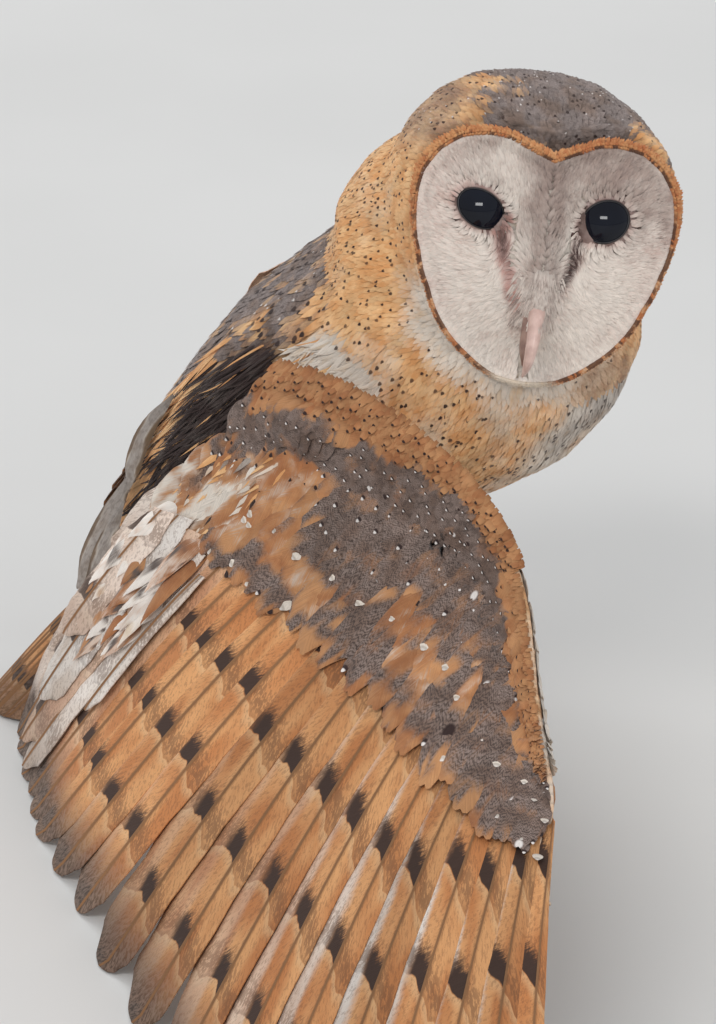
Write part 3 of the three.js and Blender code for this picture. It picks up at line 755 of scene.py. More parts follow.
# Vanes and skin by their tone and mark. drop holds the half width and half height of the drops, as shares of
# the vane.
def plumage(name, isSkin=False, colours=coatColours, rippled=0.62, drop=(0.34, 0.11), dropAt=0.84,
            barbCount=34, roughness=0.82, rippleCount=6.0):
    material, tree = newMaterial(name)
    goldShare, greyShare, darkShare, chance = readLayer(tree, "tone")
    marks = readLayer(tree, "mark")
    where = put(tree, "TexCoord", output="Object")
    if isSkin:
        place = put(tree, "VectorMath", {0: where, 1: (240, 240, 240)}, operation="MULTIPLY")
        across, deep, along = put(tree, "SeparateXYZ", {0: place}, None)
        across, along = across.maths("FRACT"), (along + deep).maths("FRACT")
    else:
        across, along = readVane(tree)
    spread = {"Across": across, "Along": along, "Chance": chance}
    patches = putNoise(tree, where, 150.0, 3.0)
    warm = patches * 0.8 + chance * 0.3
    gold = warm.soften(0.35, 0.8).blend(colours["gold"], colours["orange"])
    white = warm.soften(0.55, 0.95).blend(colours["white"], colours["cream"])
    lines = put(tree, "Group", {**spread, "Count": rippleCount}, node_tree=ripples) * rippled
    lines = lines + putNoise(tree, where, 620.0, 2.0).soften(0.5, 0.62) * 0.35
    grey = patches.soften(0.4, 0.65).blend(colours["grey"], colours["greyWarm"])
    grey = lines.blend(grey, colours["greyDeep"])
    hairs = put(tree, "Group", {**spread, "Count": barbCount}, node_tree=barbs)
    broken = hairs * 0.24 + patches * 0.5 - 0.37
    base = white
    for share, layer in ((goldShare, gold), (greyShare, grey), (darkShare, colours["dark"])):
        base = (share + broken).soften(0.12, 0.88).blend(base, layer)
    drops = ((0, 1.25, 0.7, marks[0], "dark"), (0.12, 1.1, 0.6, marks[1], "pale"))
    for ahead, edge, middle, share, key in drops:
        dx, dy = (across - 0.5) / drop[0], (along - (dropAt + ahead)) / drop[1]
        reach = (dx * dx + dy * dy).maths("SQRT")
        base = (reach.soften(edge, middle) * share).blend(base, colours[key])
    # each vane darkens towards its root, where it lies under the next ones: painted shade between the
    # feathers
    light = (hairs * 0.2 + 0.88) * (marks[3] * 0.5 + 0.76) * along.soften(-0.1, 0.55, 0.72, 1.0)
    values = {"Roughness": roughness, "Specular IOR Level": 0.25, "Sheen Weight": 0.12,
              "Sheen Roughness": 0.5}
    return dress(material, darken(tree, base, light), hairs, 0.35, 0.0003, values)


# Barred flight feathers: tone holds white edge, white, grey tip and chance; mark holds spacing, phase, bars
# and shade. Across is in millimetres from the shaft, with the outer web positive, and along from the tip.
def flightVane(name):
    material, tree = newMaterial(name)
    whiteEdge, allWhite, tipShare, chance = readLayer(tree, "tone")
    spacing, phase, barShare, shade = readLayer(tree, "mark")
    across, along = readVane(tree)
    across = across * vaneSpan["across"] - vaneSpan["across"] / 2
    along = along * vaneSpan["along"]
    away = across.maths("ABSOLUTE")
    chance = chance * 60.0

    def noise(acrossScale, alongValue, alongScale, detail, roughness=0.5):
        place = put(tree, "CombineXYZ", {0: across * acrossScale, 1: alongValue * alongScale, 2: chance})
        return putNoise(tree, place, 1.0, detail, roughness)

    slant = away * 0.9 + along
    hairs = noise(0.12, slant, 2.4, 2.0)
    flecks = noise(0.9, slant, 0.75, 4.0, 0.7)
    cloud = noise(0.09, along, 0.035, 2.0)
    wobble = noise(0.22, along, 0.12, 1.0)
    inner = across.soften(0.3, -0.8)
    gold = cloud.soften(0.35, 0.65).blend(colour(226, 166, 112), colour(198, 130, 80))
    # bars: the edge towards the tip is a crisp arch, the one towards the root frays away
    arch = (across + 5.0) / 9.0
    arch = (arch * arch).maths("MINIMUM", 1.4) * 2.8
    saw = ((along + arch + wobble * 3.4) / spacing + phase).maths("FRACT")
    frayed = saw - hairs * 0.22 - flecks * 0.12
    nearShaft = (away + wobble * 5.0).soften(14.5, 9.5)
    bar = saw.soften(0.0, 0.02) * frayed.soften(0.17, 0.03) * nearShaft * barShare * (inner * 0.88 + 0.12)
    # a thin dark line along each bar's crisp edge: painted shadow of the edge
    paintedEdgeShadow = saw.soften(0.0, 0.012) * saw.soften(0.075, 0.03) * barShare * 0.28
    dusk = saw.soften(0.5, 0.16) * saw.soften(0.02, 0.12)
    pepper = (flecks + dusk * 0.1).soften(0.52, 0.58) * (dusk * 0.2 + 0.34)
    # a pale band just tipward of each bar's crisp edge: painted highlight
    base = (saw.soften(0.86, 0.99) * 0.5).blend(gold, colour(228, 188, 142))
    spread = across + cloud * 9.0 + hairs * 2.5
    white = cloud.soften(0.3, 0.7).blend(colour(240, 231, 222), colour(214, 196, 180))
    base = (spread.soften(-1.0, -5.5) * whiteEdge).maths("MAXIMUM", allWhite).blend(base, white)
    base = pepper.blend(base, colour(112, 78, 56))
    base = bar.maths("MAXIMUM", paintedEdgeShadow).blend(base, colour(70, 52, 44))
    greyed = flecks.soften(0.44, 0.58).blend(colour(126, 108, 97), colour(80, 68, 60))
    base = ((along + flecks * 18.0).soften(36.0, 15.0) * tipShare).blend(base, greyed)
    base = away.soften(0.6, 0.35).blend(base, colour(168, 122, 84))
    # the vane darkens along its shaft: painted shadow beside the raised shaft
    light = (hairs * 0.3 + 0.85) * (shade * 0.22 + 0.88) * away.soften(0.4, 1.4, 0.72, 1.0)
    values = {"Roughness": 0.66, "Specular IOR Level": 0.25}
    return dress(material, darken(tree, base, light), hairs, 0.5, 0.0003, values)


# Two colours in patches, with an edge of a third colour where the piece has a rim
def plain(name, low, high, size, roughness, bumpDistance=0.0002, specular=0.5, edge=None):
    material, tree = newMaterial(name)
    spread = putNoise(tree, put(tree, "TexCoord", output="Object"), size, 4.0)
    base = spread.soften(0.3, 0.7).blend(low, high)
    if edge:
        base = put(tree, "Attribute", output="Fac", attribute_name="rim").soften(0.4, 0.66).blend(edge, base)
    values = {"Roughness": roughness, "Specular IOR Level": specular}
    return dress(material, base, spread, 0.5, bumpDistance, values)


lidMaterial = plain("lidSkin", colour(150, 120, 112), colour(188, 164, 156), 260.0, 0.42,
                    edge=colour(24, 20, 22))
coatMaterial = plumage("coat")
wingMaterial = plumage("wingTuft", colours=wingColours)
skinMaterial = plumage("skinUnderCoat", isSkin=True)
flightMaterial = flightVane("flightFeather")
eyeMaterial = plain("eyeBlack", colour(6, 8, 18), colour(14, 19, 32), 40.0, 0.04, 0.0, specular=0.28)
billMaterial = plain("billHorn", colour(224, 192, 180), colour(200, 166, 154), 320.0, 0.38)
toeMaterial = plain("toeScales", colour(150, 132, 112), colour(190, 172, 150), 700.0, 0.6, 0.0004)
clawMaterial = plain("clawHorn", colour(24, 20, 18), colour(48, 38, 32), 300.0, 0.3)
print("materials made")

tone, mark = markBody(skinPoints, owners)
tone[(inDisc * front > 0.3) & (owners == 0), :3] = (0.05, 0.35, 0.1)
addColours(skin.data, tone, mark * [0, 0, 0, 1])
skin.data.materials.append(skinMaterial)
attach(skin, "root")
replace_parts(skin, *skinSet["nodes"])

# The coat: fine tufts of head, neck, body and legs, each walked over the skin
tuftVane = vaneShape(2, 3, [0.8, 1.0, 0.95, 0.5], roundness=0.14, arch=0.1)
x, y, z = faceOf(faceMiddles).T
inFace = (discGap(x, y) > -1.6) & (np.abs(z - discDepth(x, y)) < 7)
faceAlong, faceAngle = trunkOf(faceMiddles)[:2]
coatSet = {
    # piece: nodes, spacing, length, half width, lift, slot
    "crownCoat": ((0,), 1.1, 4.9, 0.76, 0.55, "plumage_white"),
    "neckCoat": ((1,), 1.25, 6.4, 0.88, 0.65, "plumage_gold"),
    "breastCoat": ((2,), 1.7, 8.8, 1.2, 0.85, "plumage_gold"),
    "backCoat": ((2,), 1.8, 9.0, 1.3, 0.9, "plumage_grey"),
    "legCoat": ((3, 4), 1.8, 8.0, 1.1, 0.9, "plumage_white"),
}
for seed, (name, (nodes, spacing, length, half, lift, slot)) in enumerate(coatSet.items()):
    chosen = np.isin(faceOwners, nodes) & ~inFace
    if name in ("breastCoat", "backCoat"):
        chosen &= ((faceAngle > 0) if name == "backCoat" else (faceAngle <= 0))
    roots, index = scatter(chosen, spacing, seed)
    owner = faceOwners[index]
    size = dice.uniform(0.8, 1.15, len(roots))
    paths, ups = walk(roots, index, length * size, lift * dice.uniform(0.7, 1.1, len(roots)), 3)
    tone, mark = markBody(paths[:, 2], owner)
    layVanes(name, tuftVane, paths, ups, half * size, tone, mark, coatMaterial, slot)

# Wing coverts: big scalloped ones near the flight feathers, with fine tufts in rows over them
covertVane = vaneShape(8, 6, [0.4, 0.85, 1.0, 1.0, 0.97, 0.86, 0.6], roundness=0.16, arch=0.2, fringe=0.05,
                       seed=3)


# Raises places on a wing to where the skin bulges through its surface
def clearSkin(places, normals, rise, far=9.0):
    starts, ways = (places + normals * far).reshape(-1, 3), -normals.reshape(-1, 3)
    hits = [skinTree.ray_cast(Vector(p), Vector(d), far * 2) for p, d in zip(starts.tolist(), ways.tolist())]
    height = np.array([far - h[3] if h[0] is not None else -99.0 for h in hits]).reshape(rise.shape)
    return np.maximum(rise, np.where(height < far - 0.5, height + 0.35, rise))


# Feathers lying on a wing from s and v for so many millimetres, raised over the flesh
def onWing(wing, s, v, length, sway, lift, side=1, steps=4):
    share = np.linspace(0, 1, steps + 1)
    v2 = v[:, None] + share * (length / chordAt(wing, s))[:, None]
    s2 = np.clip(s[:, None] + sway[:, None] * share**2, 0.004, 0.97)
    normal = fanNormal(wing, s2, np.clip(v2, 0.02, 0.98)) * side
    rise = slabDepth(wing, s2, v2) * (0.75 if side < 0 else 0.86)
    rise = np.maximum(rise, wing["thin"] * 0.4 * (v2 > valueAt(wing["covert"], s2) * 0.5))
    rise = np.minimum(clearSkin(fanAt(wing, s2, v2), normal, rise), rise + mix(9, 1.2, ease(s2, 0.22, 0.66)))
    rise = rise + mix(-0.5, np.broadcast_to(lift, s.shape)[:, None], 1 - (1 - share) ** 1.6)
    return fanAt(wing, s2, v2) + normal * rise[..., None], normal


# side is 1 over the wing and -1 under it
def layOnWing(name, wing, s, v, length, half, lift, shape, side=1, slot="plumage_grey", sway=0.01,
              tinted=None):
    paths, ups = onWing(wing, s, v, length, dice.uniform(-sway, sway, len(s)), lift, side)
    chord = chordAt(wing, s)
    tone, mark = markWing(paths[:, -2], s, v + 0.8 * length / chord, np.full(len(s), side < 0))
    if tinted:
        tinted(tone, mark)
    width = widthAt(wing, 0.2)

    def field(places, x, y):
        s2, v2 = s[:, None] + x / width, v[:, None] + y * (length / chord)[:, None]
        under = np.full(s2.size, side < 0)
        return markWing(places.reshape(-1, 3), s2.ravel(), v2.ravel(), under)[0][:, :3].reshape(*s2.shape, 3)

    wide = shape is covertVane
    layVanes(name, shape, paths, ups, half, tone, mark, covertMaterial if wide else wingMaterial, slot,
             field if wide else None)


# Rows of coverts, each starting at a share of the way to where the coverts end
def covertRows(rows, edge):
    s, v, length, half, lift = [], [], [], [], []
    for k, (share, count, long, wide, rise) in enumerate(rows):
        at = (np.arange(count) + 0.25 + 0.5 * (k % 2) + dice.uniform(-0.16, 0.16, count)) / count
        at = at[(at > 0.01) & (at < 0.925)]
        scale = mix(1, 0.55, ease(at, 0.75, 0.97))
        s.append(at)
        v.append(np.interp(at, *edge) * share * (1 + dice.uniform(-0.03, 0.03, len(at))))
        length.append(long * scale * dice.uniform(0.9, 1.1, len(at)))
        half.append(wide * scale * dice.uniform(0.9, 1.1, len(at)))
        lift.append(np.full(len(at), rise))
    return [np.concatenate(x) for x in (s, v, length, half, lift)]


covertMaterial = plumage("covert", colours=wingColours, drop=(0.12, 0.08), dropAt=0.8, rippled=0.8,
                         rippleCount=19.0)
# each row: its place, how many feathers, their length, half width and lift
rightRows = [(0.12, 50, 12, 3.4, 0.7), (0.22, 46, 14, 3.8, 0.8), (0.33, 40, 16, 4.4, 0.8),
             (0.43, 34, 20, 5.2, 0.8), (0.53, 30, 24, 6.2, 0.9), (0.6, 25, 28, 7.4, 0.8),
             (0.68, 24, 27, 7.4, 1.1)]
layOnWing("rightCoverts", rightWing, *covertRows(rightRows, wingMarks["edge"]), covertVane)
underRows = [(0.05, 40, 12, 3.2, 0.3), (0.1, 36, 18, 4.4, 0.4), (0.28, 30, 24, 5.6, 0.5),
             (0.45, 26, 34, 7.0, 0.6)]
layOnWing("rightCovertsUnder", rightWing, *covertRows(underRows, wingMarks["edge"]), covertVane, -1,
          "plumage_white")
leftEdge = ([0, 0.5, 1], [0.5, 0.54, 0.4])
leftRows = [(0.0, 44, 9, 2.4, 0.6), (0.12, 40, 10, 2.7, 0.7), (0.25, 36, 12, 3.0, 0.8),
            (0.38, 32, 14, 3.5, 0.9), (0.5, 28, 17, 4.2, 1.0), (0.62, 25, 20, 5.2, 1.1)]
layOnWing("leftCoverts", leftWing, *covertRows(leftRows, leftEdge), covertVane)


# Fine tufts over the coverts, spaced evenly in millimetres
def tuftField(wing, edge, spacing, top=-0.016, reach=0.76):
    s, v = [], []
    width = widthAt(wing, 0.15)
    chord = chordAt(wing, np.linspace(0, 1, 30)).mean()
    count = int(width / spacing)
    for k, row in enumerate(np.arange(top, 0.5, spacing * 0.8 / chord)):
        at = (np.arange(count) + 0.5 * (k % 2) + dice.uniform(-0.35, 0.35, count)) * spacing / width
        at = at[(at > 0.004) & (at < 0.945) & ((row > 0.006) | (at < 0.6))]
        at = at[row < np.interp(at, *edge) * reach + dice.uniform(-0.03, 0.0, len(at))]
        s.append(at)
        v.append(np.full(len(at), row) + dice.uniform(-0.5, 0.5, len(at)) * spacing / chord)
    return np.concatenate(s), np.concatenate(v)


tuftRows = (("right", rightWing, wingMarks["edge"], 1.7), ("left", leftWing, leftEdge, 2.2))
for name, wing, edge, spacing in tuftRows:
    s, v = tuftField(wing, edge, spacing)
    size = dice.uniform(0.8, 1.2, len(s)) * mix(0.75, 1.25, ease(v, 0.02, 0.3))
    lift = mix(0.2, 0.7, ease(v, 0.02, 0.08))
    half = 1.1 * size * spacing / 1.7
    layOnWing(name + "WingTufts", wing, s, v, 6.8 * size, half, lift, tuftVane, sway=0.004)


# The pearls: a small feather with a dark drop and a white one at its tip
def layPearls(name, wing, edge, rows, count):
    s, v, half = [], [], []
    for k, share in enumerate(rows):
        n = int(count * mix(1.3, 0.7, share))
        at = np.clip((np.arange(n) + 0.5 * (k % 2) + dice.uniform(-0.3, 0.3, n)) / n, 0.01, 0.965)
        at = at[at < 0.93]
        n = len(at)
        s.append(at)
        v.append(np.interp(at, *edge) * share + dice.uniform(-0.012, 0.012, n))
        half.append(mix(0.9, 2.1, share) * dice.uniform(0.85, 1.1, n) * mix(1, 0.6, ease(at, 0.72, 0.9)))
    s, v, half = (np.concatenate(a) for a in (s, v, half))
    onStrip = np.interp(s, *wingMarks["strip"]) > v
    keep = (~onStrip | (dice.random(len(s)) < 0.8)) & ((v > 0.02) | (s < 0.6))
    s, v, half = s[keep], v[keep], half[keep]

    def tinted(tone, mark):
        mark[:, 0] = 1
        mark[:, 1] = tone[:, 1] > 0.4

    layOnWing(name, wing, s, v, half * 4.2, half, 1.3, pearlVane, tinted=tinted, sway=0.003)


pearlVane = vaneShape(4, 4, [0.5, 0.9, 1.0, 0.9, 0.45], roundness=0.12, arch=0.2)
pearlRows = [0.0, 0.06, 0.13, 0.21, 0.3, 0.39, 0.48, 0.58, 0.68, 0.78, 0.87]
layPearls("rightPearls", rightWing, wingMarks["edge"], pearlRows, 40)
layPearls("leftPearls", leftWing, leftEdge, [0.05, 0.2, 0.35, 0.5, 0.65, 0.8], 26)

# The last coverts each end in a white pearl
for rowShare, count, half in ((0.97, 15, 2.3), (0.8, 17, 1.9)):
    s = np.clip((np.arange(count) + dice.uniform(0.2, 0.8, count)) / count, 0.2, 0.94)
    v = np.interp(s, *wingMarks["edge"]) * (rowShare + dice.uniform(-0.04, 0.02, count)) - 0.03
    scale = mix(1, 0.6, ease(s, 0.75, 0.93))

    def whitened(tone, mark):
        tone[:] = [0, 0, 0, 0.5]
        mark[:, :2] = [0.3, 0.5]

    layOnWing(f"edgePearls{count}", rightWing, s, v, half * 2.5 * scale,
              half * dice.uniform(0.8, 1.15, count) * scale, 1.9, pearlVane, tinted=whitened, sway=0.003,
              slot="plumage_white")

# Flight feathers, each on its own line from root to tip
flightRows = 30
flightColumns = [-1, -0.86, -0.68, -0.5, -0.32, -0.15, -0.02, 0, 0.02, 0.3, 0.6, 0.85, 1]


def flightShape():
    bm = bmesh.new()
    bmesh.ops.create_grid(bm, x_segments=len(flightColumns) - 1, y_segments=flightRows, size=1)
    bmesh.ops.solidify(bm, geom=bm.faces[:], thickness=1.0)
    low = min(v.co.z for v in bm.verts) < -0.5
    for v in bm.verts:
        v.co.z = -1.0 if (v.co.z < -0.5 if low else v.co.z > 0.5) else 0.0
    bmesh.ops.recalc_face_normals(bm, faces=bm.faces)
    bm.verts.index_update()
    flat = {f.index for f in bm.faces if abs(f.normal.z) > 0.5}
    ridges = [e for e in bm.edges if len({f.index in flat for f in e.link_faces}) > 1]
    shape = shapeOf(bm, {frozenset(v.index for v in e.verts) for e in ridges})
    shape["column"] = np.round((shape["points"][:, 0] + 1) * (len(flightColumns) - 1) / 2).astype(int)
    bm.free()
    return shape


flightForm = flightShape()


# A wing's surface carried on past its ends
def beyond(fan, s, v):
    inside = np.clip(s, 0.0, 1.0)
    near = np.clip(inside + np.where(s > 1, -0.01, 0.01), 0, 1)
    edge = fanAt(fan, inside, v)
    slope = (fanAt(fan, near, v) - edge) / np.where(near == inside, 1, near - inside)[..., None]
    return edge + (s - inside)[..., None] * slope


# feathers: arrays of s, begin, end, outer, inner, lift, white, allWhite, tipGrey, spacing, phase, barred
def layFlight(name, fan, feathers, layer=0.8):
    shape = dict(flightForm)
    points, column = shape["points"], shape["column"]
    f = {k: np.asarray(v, float)[:, None] for k, v in feathers.items()}
    n = len(f["s"])
    order = np.arange(n)[:, None]
    a = np.array(flightColumns)[column][None, :]
    b = ((points[:, 1] + 1) / 2)[None, :]
    long = chordAt(fan, f["s"])
    v = mix(f["begin"], f["end"], b)
    taper = np.interp(b, [0, 0.2, 0.6, 0.9, 0.955, 0.985, 1], [0.5, 0.85, 1, 1.0, 0.97, 0.88, 0.7])
    wave = 0.05 * np.sin(b * 9 + order * 1.7) + 0.03 * np.sin(b * 33 + order * 4.1)
    wave = wave + 0.02 * np.sin(b * 71 + order)
    wide = np.where(a < 0, f["inner"], f["outer"]) * taper * (1 + wave)
    stem = np.abs(a) < 0.1
    x = np.where(stem, np.sign(a) * mix(1.0, 0.4, b), a * wide)
    v = v - (np.abs(a) ** 2.6) * b**16 * 6 / long
    low, high = np.clip(f["s"] - 0.02, 0, 1), np.clip(f["s"] + 0.02, 0, 1)
    pitch = np.linalg.norm(fanAt(fan, high, v) - fanAt(fan, low, v), axis=-1) / (high - low)
    swing = dice.uniform(-1, 1, (n, 1)) * 1.8 * b**2
    s = f["s"] + (x + swing) / pitch
    place, normal = beyond(fan, s, v), fanNormal(fan, np.clip(s, 0.004, 0.996), np.clip(v, 0.02, 0.98))
    web = np.where(a < 0, 1.25, 0.9) * (1 - np.where(stem, 0, a) ** 2) * np.minimum(taper, 1)
    ridge = np.where(column == flightColumns.index(0), mix(0.8, 0.35, b), np.where(stem, 0.12, 0))
    lift = layer * np.clip((s - f["s"]) * pitch / 15, -2, 1.5) + web + ridge
    lift = lift + points[:, 2][None, :] * 0.3 + f["lift"]
    places = place + normal * lift[..., None]
    floor = 0.25 + 0.3 * np.mod(order, 3) + points[:, 2][None, :] * 0.2
    places[..., 2] = floor + 0.5 * (places[..., 2] - floor + np.sqrt((places[..., 2] - floor) ** 2 + 0.6))
    ownAcross = np.broadcast_to(x / vaneSpan["across"] + 0.5, v.shape)
    shape["uv"] = np.stack([ownAcross, (f["end"] - v) * long / vaneSpan["along"]], -1)
    flat = {k: a[:, 0] for k, a in f.items()}
    tone = np.stack([flat["white"], flat["allWhite"], flat["tipGrey"], dice.random(n)], 1)
    shade = dice.random(n) - 0.9 * ease(flat["s"], 0.3, 0.6)
    mark = np.stack([flat["spacing"], flat["phase"], flat["barred"], shade], 1)
    roots = fanAt(fan, flat["s"], np.full(n, 0.2))
    return joinShapes(name, shape, places, tone, mark, roots, flightMaterial, "flight_feather")


# A row of feathers whose values run evenly from the first feather's to the last one's
def flightRow(count, first, last, warp, **values):
    values = {"lift": (0, 0), "allWhite": (0, 0), "barred": (1, 1), **values}
    u = np.linspace(0, 1, count)
    row = {"s": first + (last - first) * ((1 - warp) * u + warp * u * u)}
    for key, (low, high) in values.items():
        row[key] = mix(low, high, u)
    return row


rightRow = flightRow(20, 0.03, 0.975, 0.26, begin=(0.22, 0.16), end=(0.99, 1.0), outer=(8.5, 9.5),
                     inner=(18, 24), tipGrey=(1, 0.8))
# the bars run in arcs across the feathers: how far they lie from the tips, and their spacing
rightRow["spacing"] = np.interp(rightRow["s"], [0.55, 0.67, 0.77, 0.92, 1], [26, 27, 29, 30.5, 31])
barArc = ([0.1, 0.2, 0.35, 0.44, 0.5, 0.54, 0.59, 0.66, 0.79, 0.92, 1],
          [89, 86, 83, 78, 77, 78, 83, 91, 119, 143, 154])
rightRow["phase"] = -np.interp(rightRow["s"], *barArc) / rightRow["spacing"] + dice.uniform(-0.04, 0.04, 20)
rightRow["end"] = rightRow["end"] + dice.uniform(-0.012, 0.006, 20)
whiter = 0.15 + 0.9 * ease(rightRow["s"], 0.5, 0.8) + 0.5 * ease(0.25 - rightRow["s"], 0, 0.2)
rightRow["white"] = np.clip(whiter, 0, 1)
rightRow["allWhite"] = 0.85 * (1 - ease(rightRow["s"], 0.08, 0.3))
rightRow["outer"][-1] = 4.5
tertials = {
    "s": [0.03, 0.075, 0.12, 0.17, 0.225],
    "begin": [0.38, 0.38, 0.4, 0.43, 0.46],
    "end": [0.72, 0.86, 0.95, 0.97, 0.78],
    "outer": [11, 12, 11, 9, 3],
    "inner": [9, 11, 11, 10, 3],
    "lift": [4.4, 3.4, 2.6, 1.8, 3.0],
    "white": [1, 1, 1, 1, 1],
    "allWhite": [0.75, 1, 0.45, 0.95, 1],
    "tipGrey": [0.15, 0.1, 0.3, 0.4, 0],
    "spacing": [34, 36, 33, 31, 60],
    "phase": [0.45, 0.2, 0.6, 0.4, 0.55],
    "barred": [0.9, 0.95, 0.95, 0.85, 0.2],
}
leftRow = flightRow(20, 0.03, 0.97, 0.2, begin=(0.3, 0.2), end=(0.99, 1.0), outer=(7, 4.5), inner=(15, 9),
                    white=(0.4, 0.4), tipGrey=(0.8, 0.9), spacing=(26, 30), phase=(0.1, 0.3))
tailRow = flightRow(12, 0.05, 0.95, 0, begin=(0, 0), end=(1, 1), outer=(9, 9), inner=(10, 10),
                    white=(0.7, 0.7), tipGrey=(0.7, 0.7), spacing=(20, 20), phase=(0.2, 0.2))


wristAt = 0.58  # where along a wing the secondaries end and the primaries begin


def layWing(side, wing, row):
    for kind, chosen in (("Secondaries", row["s"] < wristAt), ("Primaries", row["s"] >= wristAt)):
        feathers = layFlight(side + kind, wing, {k: v[chosen] for k, v in row.items()})
        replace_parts(feathers, f"wing_{side}_{kind.lower()}")


layWing("right", rightWing, rightRow)
layFlight("rightTertials", rightWing, tertials)
layWing("left", leftWing, leftRow)
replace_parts(layFlight("tailFeathers", tail, tailRow, 0.5), "tail")

# Short white, cream and orange feathers over the tertials, some with a dark smudge
overSet = {
    "count": 26,
    "s": (0.0, 0.2),
    "v": (0.33, 0.6),
    "length": (20, 34),
    "half": (2.6, 4.2),
    "lift": (4.2, 5.4),
}
count = overSet["count"]
s, v = dice.uniform(*overSet["s"], count), dice.uniform(*overSet["v"], count)
v = np.minimum(v, mix(0.52, 0.62, ease(s, 0.03, 0.12)))
overVane = vaneShape(10, 7, [0.35, 0.75, 1.0, 1.0, 0.95, 0.8, 0.45], roundness=0.14, arch=0.22, fringe=0.04,
                     seed=6)
overColours = {**wingColours, "white": colour(238, 228, 218), "dark": colour(96, 84, 78)}
overMaterial = plumage("tertialCovert", colours=overColours, rippled=0.3, rippleCount=14.0)
order = np.argsort(-v)
s, v = s[order], v[order]
length, half = dice.uniform(*overSet["length"], count), dice.uniform(*overSet["half"], count)
sway, lift = dice.uniform(-0.03, 0.03, count), np.linspace(*overSet["lift"], count)
paths, ups = onWing(rightWing, s, v, length, sway, lift, steps=6)
tone, mark = markWing(paths[:, -2], s, v, np.zeros(count, bool))
tone[:, :3] = np.array([(0.1, 0, 0), (0.5, 0.1, 0), (0.95, 0, 0)])[dice.choice(3, count, p=[0.5, 0.28, 0.22])]
mark[:, :3] = 0
mark[:, 3] += 0.15
smudged, smudgeAt = (dice.random(count) < 0.6)[:, None], dice.uniform(0.5, 0.8, (count, 1))


def overField(places, x, y):
    patch = drift(places.reshape(-1, 3), 6, 6).reshape(x.shape)
    smudge = smudged * bump(y, smudgeAt, 0.16) * ease(patch + 0.15 * np.sign(x), 0.35, 0.6) * 0.9
    return np.stack([tone[:, :1] + 0.3 * ease(patch, 0.5, 0.8), tone[:, 1:2] + 0 * x, smudge], -1)


layVanes("tertialCoverts", overVane, paths, ups, half, tone, mark, overMaterial, "plumage_white", overField)
print("flight feathers laid")

# Facial disc: fine tufts that run out from the eyes and the bill
eyeSet = {  # pairs hold the right eye and the left eye
    "radius": 9.4,
    "sink": (7.6, 7.2),
    "long": (7.1, 6.9),
    "short": (5.15, 6.0),
    "tilt": 28,
    "corner": 0.14,
    "shift": (0, -1.4),
}
discVane = vaneShape(2, 3, [0.8, 1.0, 0.8, 0.25], roundness=0.12, arch=0.14)
discColours = {
    **coatColours,
    "white": colour(232, 220, 208),
    "cream": colour(219, 204, 191),
    "gold": colour(204, 168, 158),
    "orange": colour(184, 138, 126),
    "grey": colour(172, 153, 143),
    "greyWarm": colour(164, 143, 133),
    "greyDeep": colour(140, 124, 118),
    "dark": colour(70, 50, 46),
}


# Marks with a shade alone
def shadeOnly(shade):
    return np.stack([0 * shade] * 3 + [shade], 1)


# How far places on the face lie from an eye's opening, 1 on the lid's edge
def eyeReach(x, y):
    eye = (x >= 0) * 1
    side = 2 * eye - 1
    dx, dy = x - side * head["eyeSpacing"] - np.array(eyeSet["shift"])[eye], y - head["eyeHeight"]
    tilt = math.radians(eyeSet["tilt"]) * side
    along, across = dx * np.cos(tilt) + dy * np.sin(tilt), -dx * np.sin(tilt) + dy * np.cos(tilt)
    return np.hypot(along / np.array(eyeSet["long"])[eye], across / np.array(eyeSet["short"])[eye])


def discFlow(x, y):
    sideOf = np.where(x < 0, -1, 1)
    away = unit(np.stack([x - sideOf * head["eyeSpacing"], y - head["eyeHeight"]], -1))
    nearEye = bump(eyeReach(x, y), 1, 0.75)
    out = unit(np.stack([x * 1.0, y + 6], -1))
    ridge = np.stack([sideOf * 0.35, np.ones_like(x)], -1)
    onRidge = bump(x, 0, 6) * ease(y, -24, -10)
    bristle = unit(np.stack([x * 0.25, -np.ones_like(x)], -1))
    onBill = bump(x, 0, 6.5) * (1 - ease(y, -14, 2)) * ease(y, -30, -24)
    flow = mix(out, away, nearEye[..., None])
    atCorner = bump(np.abs(x), 11, 4.5) * ease(y, -14, -7) * (1 - ease(y, 4, 9))
    flow = mix(flow, np.array([0, -1.0]), 0.75 * atCorner[..., None])
    flow = mix(flow, unit(ridge), onRidge[..., None])
    return unit(mix(flow, bristle, onBill[..., None]))


def discAt(x, y, lift):
    rise = head["rimRise"] * (1 - ease(discGap(x, y), 0.2, 4.5)) * 0.8
    return onFace(x, y, discDepth(x, y) + rise - 0.6 + lift)


def discNormal(x, y):
    e = 0.3
    slopeX = (discDepth(x + e, y) - discDepth(x - e, y)) / (2 * e)
    slopeY = (discDepth(x, y + e) - discDepth(x, y - e)) / (2 * e)
    return unit(np.stack([-slopeX, -slopeY, np.ones_like(x)], -1)) @ faceAxes


